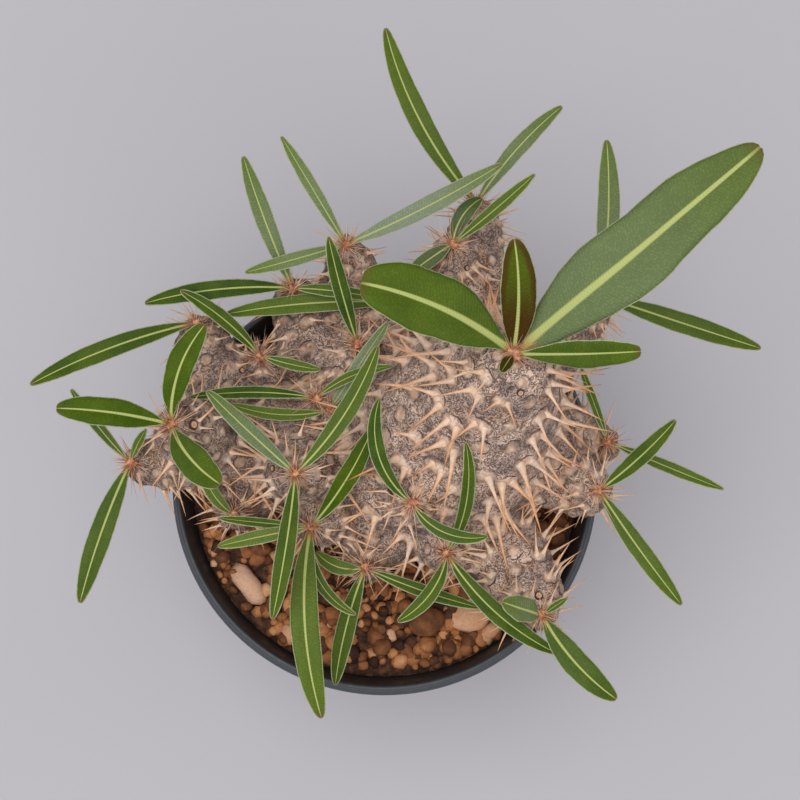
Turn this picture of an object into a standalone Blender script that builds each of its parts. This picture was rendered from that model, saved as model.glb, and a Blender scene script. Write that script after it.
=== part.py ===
"""A pachypodium in a round black pot.

Metres, +Z up. The origin is the middle of the pot's underside. The plant is one body of fused limbs
with its spines grown on, and each growing point carries a rosette of leaves on a small red bud.
"""

import math
import random
from collections import namedtuple

import bmesh
import bpy
from mathutils import Matrix, Vector, noise
from mathutils.bvhtree import BVHTree

MM = 0.001

# Pot: a nursery pot with a rolled lip, a hollow underside and a solid middle to stand on.
RIM_RADIUS = 60 * MM
POT_HEIGHT = 100 * MM
FOOT_RADIUS = 42 * MM
FLOOR_TOP = 5 * MM
LIP_WIDTH = 3 * MM
POT_WALL = 2.2 * MM
POT_STEPS = 44
DRAIN_RADIUS = 3.5 * MM
DRAIN_RING = 25 * MM
DRAINS = 6

# Soil: coarse grit up to just under the rim, with a plain round hole for the plant's neck.
SOIL_LEVEL = 92 * MM
GRAIN = 6.5 * MM
GRAIN_RELIEF = 1.7 * MM
PEBBLES = 30
PEBBLE_SEED = 11
NECK_HOLE = Vector((6, 3, 80)) * MM
NECK_HOLE_RADIUS = 30 * MM

# Clearance between pieces that touch.
GAP = 0.3 * MM

# Plant body.
BODY_VOXEL = 1.6 * MM
BODY_TRIANGLES = 2200
SPINE_SPACING = (8.5 * MM, 11 * MM)
SPINE_TRIES = 4000
SPINE_CLEARANCE = 1.4 * MM
SPINE_SPREAD = math.radians(24)
SPINE_SEED = 5
BUD_RADIUS = 2.5 * MM
BUD_PROUD = 0.35
BLADE_THICKNESS = 0.7 * MM
LEAF_STEPS = 5

Leaf = namedtuple("Leaf", "heading length width lift droop sweep roll", defaults=(0, 0))
Head = namedtuple("Head", "x y z limb leaves")

# Each limb is a row of (x, y, z, radius) in millimetres, from inside the trunk to just below its tip.
LIMBS = {
    "trunk": [(6, 3, 78, 25.5), (6, 3, 92, 25), (10, 5, 108, 27.5), (18, 9, 122, 26.5),
              (25, 14.5, 138, 21.5), (28.5, 17, 150, 16), (30.5, 19, 158, 12)],
    "left_lobe": [(-2, 4, 108, 21), (-18, 7, 110, 16.5), (-34, 9, 112, 15), (-45, 8.5, 120, 11),
                  (-51, 7, 134, 9)],
    "left_low": [(-46, 6, 118, 11), (-57, 3, 116, 8.5)],
    "left_back": [(-38, 14, 112, 13), (-46, 27, 111, 10), (-50.5, 36, 110.5, 7.5)],
    "left_ridge": [(-32, 13, 112, 13), (-33.5, 24, 112, 9.5)],
    "front_shoulder": [(-20, 4, 114, 15), (-22, -1, 128, 9.5)],
    "front_left": [(-8, -2, 108, 15), (-15, -10, 114, 10.5)],
    "left_front": [(-34, 4, 110, 12), (-39, -6, 109, 9)],
    "front_low": [(2, -6, 106, 14), (-1, -17, 107, 9)],
    "front_shoot": [(13, -2, 126, 12), (9, -8, 132, 8.5)],
    "front_right": [(14, -6, 110, 14), (16, -17, 115, 10)],
    "right_low": [(22, -8, 106, 15), (31, -20, 112, 12), (38, -32, 117, 10)],
    "right": [(34, 6, 116, 14), (46, -1, 118, 10), (53, -5, 118, 8)],
    "right_stub": [(38, 10, 114, 14), (50, 10, 110, 9.5), (57, 8.5, 107.8, 6.5)],
    "back_right": [(36, 22, 116, 12), (48, 35, 113, 8), (56, 44, 111, 6.5)],
    "back": [(18, 24, 110, 18), (22, 42, 110, 12), (25, 57, 112, 9), (25.5, 68, 112, 7.5)],
    "back_shoot": [(20, 46, 109, 11), (19, 56, 118, 8)],
    "back_left": [(4, 24, 108, 16), (-4, 40, 110, 12), (-9, 54, 112, 8.5)],
    "back_far": [(-14, 26, 108, 14), (-20, 38, 109, 10.5), (-24, 46, 111, 8)],
    "middle_left": [(-4, 18, 112, 14), (-6, 27, 119, 10)],
    "middle": [(-12, 10, 110, 13), (-16, 15, 115, 8.5)],
    "middle_back": [(6, 34, 108, 12), (5.5, 42, 111, 8.5)],
}

# Each head is a growing point: its place in millimetres, its limb and its leaves. A leaf has its
# heading in degrees about +Z from +X, its length and width in millimetres, the angle that it lifts
# by at its base, how far it droops by its tip, how far it sweeps round and how far it rolls.
HEADS = [
    Head(31.5, 21, 172, "trunk", [
        Leaf(38, 74, 18, 28, 20, 4), Leaf(160, 41.5, 15.5, 38, 30, 22), Leaf(92, 29, 8.5, 50, 20, 20),
        Leaf(356, 30.5, 7, 36, 26, 12, 35), Leaf(242, 13, 3, 62, 10)]),
    Head(25.5, 74.5, 118, "back", [Leaf(120, 53.5, 6.2, 30, 20, -34), Leaf(47, 34.5, 4.8, 26, 26, -15)]),
    Head(18.5, 59.5, 130, "back_shoot", [
        Leaf(37, 28, 3.5, 36, 30, 11), Leaf(56, 14, 4.6, 22, 30, -50), Leaf(217, 14.5, 4.6, 22, 35)]),
    Head(-10.5, 61, 124, "back_left", [
        Leaf(122, 33, 3.7, 30, 30, -3), Leaf(22, 48, 5.2, 34, 24, 17), Leaf(199, 28.5, 3.9, 32, 44, -15)]),
    Head(-25, 49.5, 121, "back_far", [
        Leaf(111, 37, 5, 26, 20, -8), Leaf(187, 40, 5.2, 24, 42, 9), Leaf(348, 25.5, 3.5, 40, 40)]),
    Head(-7, 32, 131, "middle_left", [Leaf(106, 29, 4.3, 40, 26, -8)]),
    Head(-18, 18, 127, "middle", [Leaf(182, 33, 3.3, 26, 30, 14), Leaf(17, 23.5, 2.8, 42, 26, -30)]),
    Head(-33.5, 30.5, 122, "left_ridge", [Leaf(143, 27, 4, 32, 24, 21), Leaf(345, 16.5, 3, 22, 24, 15)]),
    Head(-51.5, 40.5, 118, "left_back", [Leaf(203, 47, 5.6, 22, 30, 9)]),
    Head(-53.5, 7.5, 148, "left_lobe", [
        Leaf(69, 26.5, 7, 34, 30, -38), Leaf(174, 28, 7.3, 30, 34, 9), Leaf(310, 22.5, 8, 36, 26, 34)]),
    Head(-67.5, 1, 124, "left_low", [
        Leaf(253, 38.5, 6.1, 20, 30, 5), Leaf(129, 24, 3.1, 20, 20, -10), Leaf(62, 9, 2.5, 26, 20, -10)]),
    Head(-22.5, -4, 140, "front_shoulder", [
        Leaf(138, 30.5, 4.5, 34, 30, -6), Leaf(55, 39.5, 4.9, 32, 20, 31),
        Leaf(262, 37.5, 4.8, 26, 44, -10)]),
    Head(-19, -16.5, 128, "front_left", [
        Leaf(56, 31, 5.3, 36, 22, 22), Leaf(274, 50, 7.3, 26, 46, 25), Leaf(192, 24, 3.7, 16, 32),
        Leaf(299, 27, 3, 6, 28, 75), Leaf(174, 24, 2.5, 4, 20, -5)]),
    Head(-40, -12.5, 120, "left_front", [Leaf(122, 17.5, 3.5, 52, 14, -50)]),
    Head(-5, -26.5, 118, "front_low", [
        Leaf(160, 13.5, 4, 14, 30, -63), Leaf(256, 31, 5, 14, 30, 13), Leaf(341, 31.5, 3.5, 16, 30, 12)]),
    Head(7.5, -12, 143, "front_shoot", [Leaf(108, 29.5, 4, 32, 24, -74), Leaf(336, 22, 3.5, 24, 26, 75)]),
    Head(16.5, -23.5, 129, "front_right", [
        Leaf(81, 38.5, 3.5, 56, 14, 47), Leaf(233, 22, 4, 20, 40, -53), Leaf(318, 38, 4.8, 14, 30, 35)]),
    Head(41, -39.5, 130, "right_low", [
        Leaf(166, 15, 6.5, 56, 20, -5), Leaf(34, 8.5, 2, 50, 20), Leaf(311, 28, 6.8, 22, 34, 30)]),
    Head(56.5, -7, 129, "right", [Leaf(42, 26.5, 4.6, 32, 20, 14), Leaf(304, 36, 5, 24, 38, 12)]),
    Head(61, 8, 115, "right_stub", [Leaf(336, 32.5, 3.3, 20, 28, 8), Leaf(113, 21.5, 2.5, 34, 22, -5)]),
    Head(59, 47.5, 120, "back_right", [Leaf(89, 41.5, 6, 34, 24, 12), Leaf(340, 45, 5.8, 22, 34, 10)]),
    Head(5.5, 45.5, 120.5, "middle_back", [Leaf(184, 48, 5.2, 6, 12, 11), Leaf(20, 15.5, 3.5, 38, 26, -5)]),
    Head(-14.5, 15, 125, "middle", [Leaf(178, 26, 3.3, 26, 30, -39), Leaf(53, 29, 3.6, 36, 14)]),
]


def clear_scene():
    for item in list(bpy.data.objects):
        bpy.data.objects.remove(item, do_unlink=True)


def make_collection(name, hidden=False):
    found = bpy.data.collections.new(name)
    bpy.context.scene.collection.children.link(found)
    found.hide_render = hidden
    return found


def make_material(name, colour, roughness, metallic=0.0):
    material = bpy.data.materials.new(name)
    material.use_nodes = True
    shader = material.node_tree.nodes["Principled BSDF"]
    shader.inputs["Base Color"].default_value = (*colour, 1.0)
    shader.inputs["Roughness"].default_value = roughness
    shader.inputs["Metallic"].default_value = metallic
    return material


def make_object(name, mesh, collection, material=None):
    made = bpy.data.objects.new(name, mesh)
    collection.objects.link(made)
    if material:
        mesh.materials.clear()
        mesh.materials.append(material)
    return made


def mesh_of(name, form):
    """A mesh from a bmesh, with its normals outwards."""
    bmesh.ops.recalc_face_normals(form, faces=form.faces)
    mesh = bpy.data.meshes.new(name)
    form.to_mesh(mesh)
    form.free()
    return mesh


def apply_modifiers(made):
    """Puts the mesh that the modifiers make in place of the object's own."""
    graph = bpy.context.evaluated_depsgraph_get()
    mesh = bpy.data.meshes.new_from_object(made.evaluated_get(graph))
    made.modifiers.clear()
    made.data = mesh


def boolean_with(made, helpers, operation):
    """One Boolean with every object of a collection, applied, and the collection emptied."""
    cut = made.modifiers.new(operation.title(), "BOOLEAN")
    cut.operation = operation
    cut.operand_type = "COLLECTION"
    cut.collection = helpers
    apply_modifiers(made)
    for helper in list(helpers.objects):
        bpy.data.objects.remove(helper, do_unlink=True)


def add_helper(name, form, helpers):
    """A closed shape waiting in the helpers' collection for a Boolean."""
    made = make_object(name, mesh_of(name, form), helpers)
    made.hide_render = True
    made.display_type = "WIRE"
    return made


def smooth_round(made, angle=40):
    made.data.shade_smooth()
    made.data.set_sharp_from_angle(angle=math.radians(angle))


def screw_profile(name, profile, steps, collection, material):
    """A turned shape from a profile of (radius, height) that runs down its outer side."""
    form = bmesh.new()
    points = [form.verts.new((radius, 0, height)) for radius, height in profile]
    for first, second in zip(points, points[1:]):
        form.edges.new((first, second))
    mesh = bpy.data.meshes.new(name)
    form.to_mesh(mesh)
    form.free()
    made = make_object(name, mesh, collection, material)
    turn = made.modifiers.new("Turn", "SCREW")
    turn.steps = turn.render_steps = steps
    turn.use_merge_vertices = True
    turn.merge_threshold = 0.00005
    return made


def inner_radius(height):
    """The pot's inner wall at a height, by the wall's straight taper."""
    top = RIM_RADIUS - LIP_WIDTH
    bottom = FOOT_RADIUS - POT_WALL - 1.2 * MM
    share = (height - FLOOR_TOP) / (POT_HEIGHT - FLOOR_TOP)
    return bottom + (top - bottom) * share


def make_pot(parts, helpers, material):
    ridge = RIM_RADIUS - 1.9 * MM
    under_lip = POT_HEIGHT - 9 * MM
    profile = [
        (0, FLOOR_TOP),
        (inner_radius(FLOOR_TOP), FLOOR_TOP),
        (inner_radius(POT_HEIGHT - 2 * MM), POT_HEIGHT - 2 * MM),
        (ridge - 0.9 * MM, POT_HEIGHT - 0.4 * MM),
        (ridge, POT_HEIGHT),
        (ridge + 1.5 * MM, POT_HEIGHT - 0.6 * MM),
        (RIM_RADIUS - 0.3 * MM, POT_HEIGHT - 2.2 * MM),
        (RIM_RADIUS, POT_HEIGHT - 4 * MM),
        (RIM_RADIUS - 0.2 * MM, under_lip + 0.5 * MM),
        (inner_radius(under_lip) + POT_WALL, under_lip),
        (FOOT_RADIUS, 1.2 * MM),
        (FOOT_RADIUS - 1 * MM, 0),
        (FOOT_RADIUS - 4.5 * MM, 0),
        (FOOT_RADIUS - 5.5 * MM, 2 * MM),
        (13 * MM, 2 * MM),
        (12 * MM, 0),
        (0, 0),
    ]
    pot = screw_profile("pot", profile, POT_STEPS, parts, material)
    apply_modifiers(pot)
    for number in range(DRAINS):
        turn = 2 * math.pi * number / DRAINS
        form = bmesh.new()
        bmesh.ops.create_cone(
            form, cap_ends=True, segments=10, radius1=DRAIN_RADIUS, radius2=DRAIN_RADIUS,
            depth=12 * MM,
            matrix=Matrix.Translation((DRAIN_RING * math.cos(turn), DRAIN_RING * math.sin(turn), 3 * MM)))
        add_helper(f"drain_{number}", form, helpers)
    boolean_with(pot, helpers, "DIFFERENCE")
    smooth_round(pot)
    return pot


def grain_height(x, y):
    """How far the grit stands up at a point: a dome on each cell of a Voronoi pattern."""
    distance = noise.voronoi(Vector((x, y, 0)) / GRAIN)[0][0]
    return GRAIN_RELIEF * (max(0.0, 1 - (distance / 0.75) ** 2) - 0.5)


def make_soil(parts, helpers, material):
    edge = inner_radius(SOIL_LEVEL) - 1.5 * GAP
    bottom = FLOOR_TOP + GAP
    first_ring = 12 * MM
    rings = 11
    profile = [(0, SOIL_LEVEL)]
    for ring in range(rings + 1):
        profile.append((first_ring + (edge - first_ring) * ring / rings, SOIL_LEVEL))
    profile += [(inner_radius(bottom) - 1.5 * GAP, bottom), (0, bottom)]
    soil = screw_profile("soil", profile, POT_STEPS, parts, material)
    apply_modifiers(soil)
    for point in soil.data.vertices:
        place = point.co
        on_top = place.z > SOIL_LEVEL - 0.1 * MM
        if on_top and math.hypot(place.x, place.y) < edge - 0.5 * MM:
            place.z += grain_height(place.x, place.y)
    draw = random.Random(PEBBLE_SEED)
    sizes = [(-38.5, -29, 6.8, 3.4, 2.6, -50), (24, -38, 5.6, 4, 2.6, 10), (11.5, -39.5, 5.4, 4.6, 3, 20)]
    while len(sizes) < PEBBLES:
        turn = draw.uniform(0, 2 * math.pi)
        reach = 50 * math.sqrt(draw.uniform(0.3, 0.9))
        x, y = reach * math.cos(turn), reach * math.sin(turn)
        neck = math.hypot(x - NECK_HOLE.x / MM, y - NECK_HOLE.y / MM)
        near = min(math.hypot(x - other[0], y - other[1]) for other in sizes)
        if neck > 33 and near > 5.5:
            side = draw.uniform(2, 3.2)
            sizes.append((x, y, side, side * draw.uniform(0.7, 1), side * 0.7, draw.uniform(0, 180)))
    for number, (x, y, long_side, short_side, high, turn) in enumerate(sizes):
        form = bmesh.new()
        bmesh.ops.create_icosphere(form, subdivisions=1, radius=1.0)
        shape = Matrix.Diagonal((long_side * MM, short_side * MM, high * MM, 1))
        place = Matrix.Translation((x * MM, y * MM, SOIL_LEVEL + 0.3 * MM))
        bmesh.ops.transform(
            form, matrix=place @ Matrix.Rotation(math.radians(turn), 4, "Z") @ shape, verts=form.verts)
        add_helper(f"pebble_{number}", form, helpers)
    boolean_with(soil, helpers, "UNION")
    form = bmesh.new()
    bmesh.ops.create_cone(
        form, cap_ends=True, segments=POT_STEPS, radius1=NECK_HOLE_RADIUS, radius2=NECK_HOLE_RADIUS,
        depth=40 * MM, matrix=Matrix.Translation(NECK_HOLE + Vector((0, 0, 20 * MM))))
    add_helper("neck_hole", form, helpers)
    boolean_with(soil, helpers, "DIFFERENCE")
    return soil


def head_place(head):
    return Vector((head.x, head.y, head.z)) * MM


def head_axis(head):
    """The way that a growing point faces: half along its limb, half straight up."""
    before = Vector(LIMBS[head.limb][-1][:3]) * MM
    return ((head_place(head) - before).normalized() + Vector((0, 0, 1))).normalized()


def bud_radius(head):
    return BUD_RADIUS * (1.5 if head.limb == "trunk" else 1)


def limb_rows():
    """Every limb as (point, radius) rows, each carried on to the base of the buds at its tip."""
    rows = {}
    for name, row in LIMBS.items():
        rows[name] = [(Vector(point[:3]) * MM, point[3] * MM) for point in row]
    for number, head in enumerate(HEADS):
        end_radius = (8.5 if head.limb == "trunk" else 5.5) * MM
        sink = end_radius + BUD_PROUD * bud_radius(head)
        tip = head_place(head) - head_axis(head) * sink
        last = (Vector(LIMBS[head.limb][-1][:3]) * MM, LIMBS[head.limb][-1][3] * MM)
        rows[f"tip_{number}"] = [last, (tip, end_radius)]
    return rows


def along_limb(row, step):
    """(point, radius, axis) along a limb's centre line, from its tip down to its root, a step apart."""
    found = []
    row = row[::-1]
    for (first, first_radius), (second, second_radius) in zip(row, row[1:]):
        axis = (first - second).normalized()
        count = max(1, round((second - first).length / step))
        for number in range(count + 1):
            share = number / count
            radius = first_radius + (second_radius - first_radius) * share
            found.append((first.lerp(second, share), radius, axis))
    return found


def keep_outer_skin(mesh):
    """Fills the small hollows left between the balls, by keeping only the largest skin."""
    form = bmesh.new()
    form.from_mesh(mesh)
    left = set(form.verts)
    skins = []
    while left:
        reached = [left.pop()]
        for corner in reached:
            around = [edge.other_vert(corner) for edge in corner.link_edges]
            fresh = [other for other in around if other in left]
            left.difference_update(fresh)
            reached.extend(fresh)
        skins.append(reached)
    skins.sort(key=len)
    for skin in skins[:-1]:
        bmesh.ops.delete(form, geom=skin, context="VERTS")
    form.to_mesh(mesh)
    form.free()


def make_body(parts, helpers, material):
    """The limbs as rows of overlapping balls, melted into one skin and cut flat where they stand."""
    form = bmesh.new()
    for row in limb_rows().values():
        for centre, radius, _ in along_limb(row, 2.5 * MM):
            bmesh.ops.create_icosphere(
                form, subdivisions=2, radius=radius, matrix=Matrix.Translation(centre))
    body = make_object("plant_body", mesh_of("plant_body", form), parts, material)
    melt = body.modifiers.new("Melt", "REMESH")
    melt.mode = "VOXEL"
    melt.voxel_size = BODY_VOXEL
    soften = body.modifiers.new("Soften", "SMOOTH")
    soften.factor = 0.5
    soften.iterations = 5
    apply_modifiers(body)
    keep_outer_skin(body.data)
    lighten = body.modifiers.new("Lighten", "DECIMATE")
    lighten.ratio = BODY_TRIANGLES / (2 * len(body.data.polygons))
    apply_modifiers(body)
    flat = NECK_HOLE.z + GAP
    form = bmesh.new()
    bmesh.ops.create_cube(
        form, size=120 * MM, matrix=Matrix.Translation((NECK_HOLE.x, NECK_HOLE.y, flat - 60 * MM)))
    add_helper("stand", form, helpers)
    for number, head in enumerate(HEADS):
        add_helper(f"seat_{number}", bud_form(head, 1.3 * GAP), helpers)
    boolean_with(body, helpers, "DIFFERENCE")
    return body


def bud_form(head, grown=0.0):
    """A growing point: a small faceted ball, or a slightly larger one to cut its seat."""
    form = bmesh.new()
    turn = head_axis(head).to_track_quat("Z", "Y").to_matrix().to_4x4()
    place = Matrix.Translation(head_place(head)) @ turn
    bmesh.ops.create_icosphere(form, subdivisions=1, radius=bud_radius(head) + grown, matrix=place)
    return form


def outline(share):
    """A lance leaf's width along its midrib, as a share of its widest, with a short stalk and blunt tip."""
    rise = max(0.0, math.sin(math.pi * share ** 1.1))
    return max(0.2 - 0.06 * share, math.sqrt(rise))


def midrib(leaf, start, steps):
    """(point, forward, side, up) along a leaf, which droops and sweeps evenly from base to tip."""
    frames = []
    point = start.copy()
    for number in range(steps + 1):
        share = number / steps
        yaw = math.radians(leaf.heading + leaf.sweep * (share - 0.5))
        pitch = math.radians(leaf.lift - leaf.droop * share)
        forward = Vector((math.cos(pitch) * math.cos(yaw), math.cos(pitch) * math.sin(yaw), math.sin(pitch)))
        flat_side = Vector((-math.sin(yaw), math.cos(yaw), 0))
        side = Matrix.Rotation(math.radians(leaf.roll), 3, forward) @ flat_side
        frames.append((point.copy(), forward, side, forward.cross(side)))
        middle = math.radians(leaf.lift - leaf.droop * (share + 0.5 / steps))
        turn = math.radians(leaf.heading + leaf.sweep * (share + 0.5 / steps - 0.5))
        point += Vector((
            math.cos(middle) * math.cos(turn), math.cos(middle) * math.sin(turn), math.sin(middle),
        )) * (leaf.length * MM / steps)
    return frames


def leaf_form(leaf, start):
    """A blade two cells wide, folded a little along its midrib and given its thickness."""
    fold = math.tan(math.radians(12))
    form = bmesh.new()
    bmesh.ops.create_grid(form, x_segments=LEAF_STEPS, y_segments=2, size=0.5)
    frames = midrib(leaf, start, LEAF_STEPS)
    for corner in form.verts:
        number = round((corner.co.x + 0.5) * LEAF_STEPS)
        across = corner.co.y
        point, _, side, up = frames[number]
        wide = leaf.width * MM * outline(number / LEAF_STEPS)
        corner.co = point + side * (across * wide) + up * (abs(across) * wide * fold)
    bmesh.ops.triangulate(form, faces=form.faces)
    return form


def add_leaf(name, leaf, start, helpers):
    made = add_helper(name, leaf_form(leaf, start), helpers)
    thicken = made.modifiers.new("Thicken", "SOLIDIFY")
    thicken.thickness = BLADE_THICKNESS
    thicken.offset = 0
    thicken.use_even_offset = True


def make_rosette(number, head, parts, helpers, material):
    """The leaves of one growing point, fused to its bud."""
    name = f"rosette_{number + 1:02d}"
    made = make_object(name, mesh_of(name, bud_form(head)), parts, material)
    for order, leaf in enumerate(head.leaves):
        yaw = math.radians(leaf.heading - leaf.sweep / 2)
        start = head_place(head) + Vector((math.cos(yaw), math.sin(yaw), 0.3)) * MM
        add_leaf(f"leaf_{order}", leaf, start, helpers)
    boolean_with(made, helpers, "UNION")
    smooth_round(made, 50)
    return made


def surface_of(items):
    """One search tree over the meshes of several objects."""
    corners, faces = [], []
    for item in items:
        offset = len(corners)
        corners += [point.co.copy() for point in item.data.vertices]
        faces += [[offset + index for index in face.vertices] for face in item.data.polygons]
    return BVHTree.FromPolygons(corners, faces)


def stoutness(radius):
    """0 on the thin limbs, 1 on the trunk."""
    return min(1.0, max(0.0, (radius / MM - 6) / 15))


def spine_roots(body):
    """Places for pairs of spines: random points of the skin, kept where none stands too near."""
    samples = [sample for row in limb_rows().values() for sample in along_limb(row, 2 * MM)]
    corners = [point.co for point in body.data.vertices]
    faces = list(body.data.polygons)
    draw = random.Random(SPINE_SEED)
    places = []
    for face in draw.choices(faces, weights=[face.area for face in faces], k=SPINE_TRIES):
        first, second, third = (corners[index] for index in face.vertices[:3])
        one, two = sorted((draw.random(), draw.random()))
        point = first * one + second * (two - one) + third * (1 - two)
        _, radius, axis = min(samples, key=lambda sample: (point - sample[0]).length - sample[1])
        thin, stout = SPINE_SPACING
        spacing = thin + (stout - thin) * stoutness(radius)
        if point.z < SOIL_LEVEL + 3 * MM or any((point - place[0]).length < spacing for place in places):
            continue
        away = face.normal * axis.dot(face.normal) - axis
        places.append((point, face.normal.copy(), away.normalized(), radius))
    return places


def spine_form(root, direction, length, radius):
    form = bmesh.new()
    bmesh.ops.create_cone(
        form, cap_ends=True, segments=3, radius1=radius, radius2=0.12 * MM, depth=length)
    turn = direction.to_track_quat("Z", "Y").to_matrix().to_4x4()
    middle = root + direction * (length / 2 - 1.2 * MM)
    bmesh.ops.transform(form, matrix=Matrix.Translation(middle) @ turn, verts=form.verts)
    return form


def grow_spines(body, neighbours, helpers):
    """Pairs of spines that lean away from the limb's tip, left out where they would touch a neighbour."""
    around = surface_of(neighbours)
    draw = random.Random(SPINE_SEED + 1)
    for number, (point, normal, away, limb_radius) in enumerate(spine_roots(body)):
        across = normal.cross(away)
        share = stoutness(limb_radius)
        for turn in (-SPINE_SPREAD, SPINE_SPREAD):
            length = (7.5 + 7 * share) * MM * draw.uniform(0.85, 1.1)
            lean = normal + away * 0.5 + across * math.tan(turn)
            lean += Vector(draw.uniform(-0.1, 0.1) for _ in "xyz")
            direction = lean.normalized()
            root = point + across * (math.copysign(0.5, turn) * MM)
            steps = [root + direction * (length * part / 10 - 1.2 * MM) for part in range(11)]
            if min(around.find_nearest(step)[3] for step in steps) < SPINE_CLEARANCE:
                continue
            form = spine_form(root, direction, length, (0.75 + 0.5 * share) * MM)
            add_helper(f"spine_{number}", form, helpers)
    boolean_with(body, helpers, "UNION")


def main():
    clear_scene()
    parts = make_collection("potted_pachypodium")
    helpers = make_collection("helpers", hidden=True)
    plastic = make_material("black_plastic", (0.045, 0.055, 0.065), 0.55)
    grit = make_material("grit", (0.25, 0.11, 0.05), 0.95)
    bark = make_material("bark", (0.32, 0.25, 0.20), 0.85)
    green = make_material("leaf", (0.10, 0.20, 0.04), 0.5)
    pot = make_pot(parts, helpers, plastic)
    soil = make_soil(parts, helpers, grit)
    body = make_body(parts, helpers, bark)
    rosettes = [make_rosette(number, head, parts, helpers, green) for number, head in enumerate(HEADS)]
    grow_spines(body, [pot, soil, *rosettes], helpers)


main()
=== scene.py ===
"""Finished looks for a potted pachypodium: a spiny caudex succulent in a round black pot of grit.

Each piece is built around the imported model, in metres, +Z up, with the middle of the pot's underside
at the origin. The limbs, growing points and leaves repeat the model's own table.
"""

import math
import random
from collections import namedtuple
from functools import partial

import bmesh
import bpy
import numpy as np
from bpy.props import FloatProperty, FloatVectorProperty, IntProperty, PointerProperty
from mathutils import Matrix, Vector, noise
from mathutils.bvhtree import BVHTree
from mathutils.kdtree import KDTree


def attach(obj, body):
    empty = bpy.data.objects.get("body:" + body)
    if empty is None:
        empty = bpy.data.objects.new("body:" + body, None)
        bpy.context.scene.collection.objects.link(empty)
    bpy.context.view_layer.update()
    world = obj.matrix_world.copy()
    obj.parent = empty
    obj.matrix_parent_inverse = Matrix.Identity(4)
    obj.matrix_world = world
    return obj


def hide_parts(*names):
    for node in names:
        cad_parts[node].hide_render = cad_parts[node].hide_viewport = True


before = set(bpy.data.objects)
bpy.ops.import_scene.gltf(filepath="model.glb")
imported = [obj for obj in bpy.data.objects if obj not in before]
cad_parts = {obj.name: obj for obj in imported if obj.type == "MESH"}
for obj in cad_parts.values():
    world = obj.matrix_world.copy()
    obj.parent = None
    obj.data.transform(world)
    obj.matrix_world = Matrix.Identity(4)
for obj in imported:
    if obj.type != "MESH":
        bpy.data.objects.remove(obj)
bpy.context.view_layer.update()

bl_info = {
    "name": "Potted Pachypodium",
    "version": (1, 0, 0),
    "blender": (4, 5, 0),
    "location": "View3D > Sidebar > Pachypodium",
    "description": "Builds the finished looks of a potted pachypodium around its packed model",
    "category": "Add Mesh",
}

MM = 0.001

Leaf = namedtuple("Leaf", "heading length width lift droop sweep roll look", defaults=(0, 0, "plain"))
Head = namedtuple("Head", "x y z limb leaves")

# How stout is 0 on the thin limbs and 1 on the trunk. Away is the way down the limb from its tip.
Tubercle = namedtuple("Tubercle", "point normal away stout")
Spine = namedtuple("Spine", "root direction length width stout")

# Each limb is a row of (x, y, z, radius) in millimetres, from inside the trunk to just below its tip.
LIMBS = {
    "trunk": [(6, 3, 78, 25.5), (6, 3, 92, 25), (10, 5, 108, 27.5), (18, 9, 122, 26.5),
              (25, 14.5, 138, 21.5), (28.5, 17, 150, 16), (30.5, 19, 158, 12)],
    "left_lobe": [(-2, 4, 108, 21), (-18, 7, 110, 16.5), (-34, 9, 112, 15), (-45, 8.5, 120, 11),
                  (-51, 7, 134, 9)],
    "left_low": [(-46, 6, 118, 11), (-57, 3, 116, 8.5)],
    "left_back": [(-38, 14, 112, 13), (-46, 27, 111, 10), (-50.5, 36, 110.5, 7.5)],
    "left_ridge": [(-32, 13, 112, 13), (-33.5, 24, 112, 9.5)],
    "front_shoulder": [(-20, 4, 114, 15), (-22, -1, 128, 9.5)],
    "front_left": [(-8, -2, 108, 15), (-15, -10, 114, 10.5)],
    "left_front": [(-34, 4, 110, 12), (-39, -6, 109, 9)],
    "front_low": [(2, -6, 106, 14), (-1, -17, 107, 9)],
    "front_shoot": [(13, -2, 126, 12), (9, -8, 132, 8.5)],
    "front_right": [(14, -6, 110, 14), (16, -17, 115, 10)],
    "right_low": [(22, -8, 106, 15), (31, -20, 112, 12), (38, -32, 117, 10)],
    "right": [(34, 6, 116, 14), (46, -1, 118, 10), (53, -5, 118, 8)],
    "right_stub": [(38, 10, 114, 14), (50, 10, 110, 9.5), (57, 8.5, 107.8, 6.5)],
    "back_right": [(36, 22, 116, 12), (48, 35, 113, 8), (56, 44, 111, 6.5)],
    "back": [(18, 24, 110, 18), (22, 42, 110, 12), (25, 57, 112, 9), (25.5, 68, 112, 7.5)],
    "back_shoot": [(20, 46, 109, 11), (19, 56, 118, 8)],
    "back_left": [(4, 24, 108, 16), (-4, 40, 110, 12), (-9, 54, 112, 8.5)],
    "back_far": [(-14, 26, 108, 14), (-20, 38, 109, 10.5), (-24, 46, 111, 8)],
    "middle_left": [(-4, 18, 112, 14), (-6, 27, 119, 10)],
    "middle": [(-12, 10, 110, 13), (-16, 15, 115, 8.5)],
    "middle_back": [(6, 34, 108, 12), (5.5, 42, 111, 8.5)],
}

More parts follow.
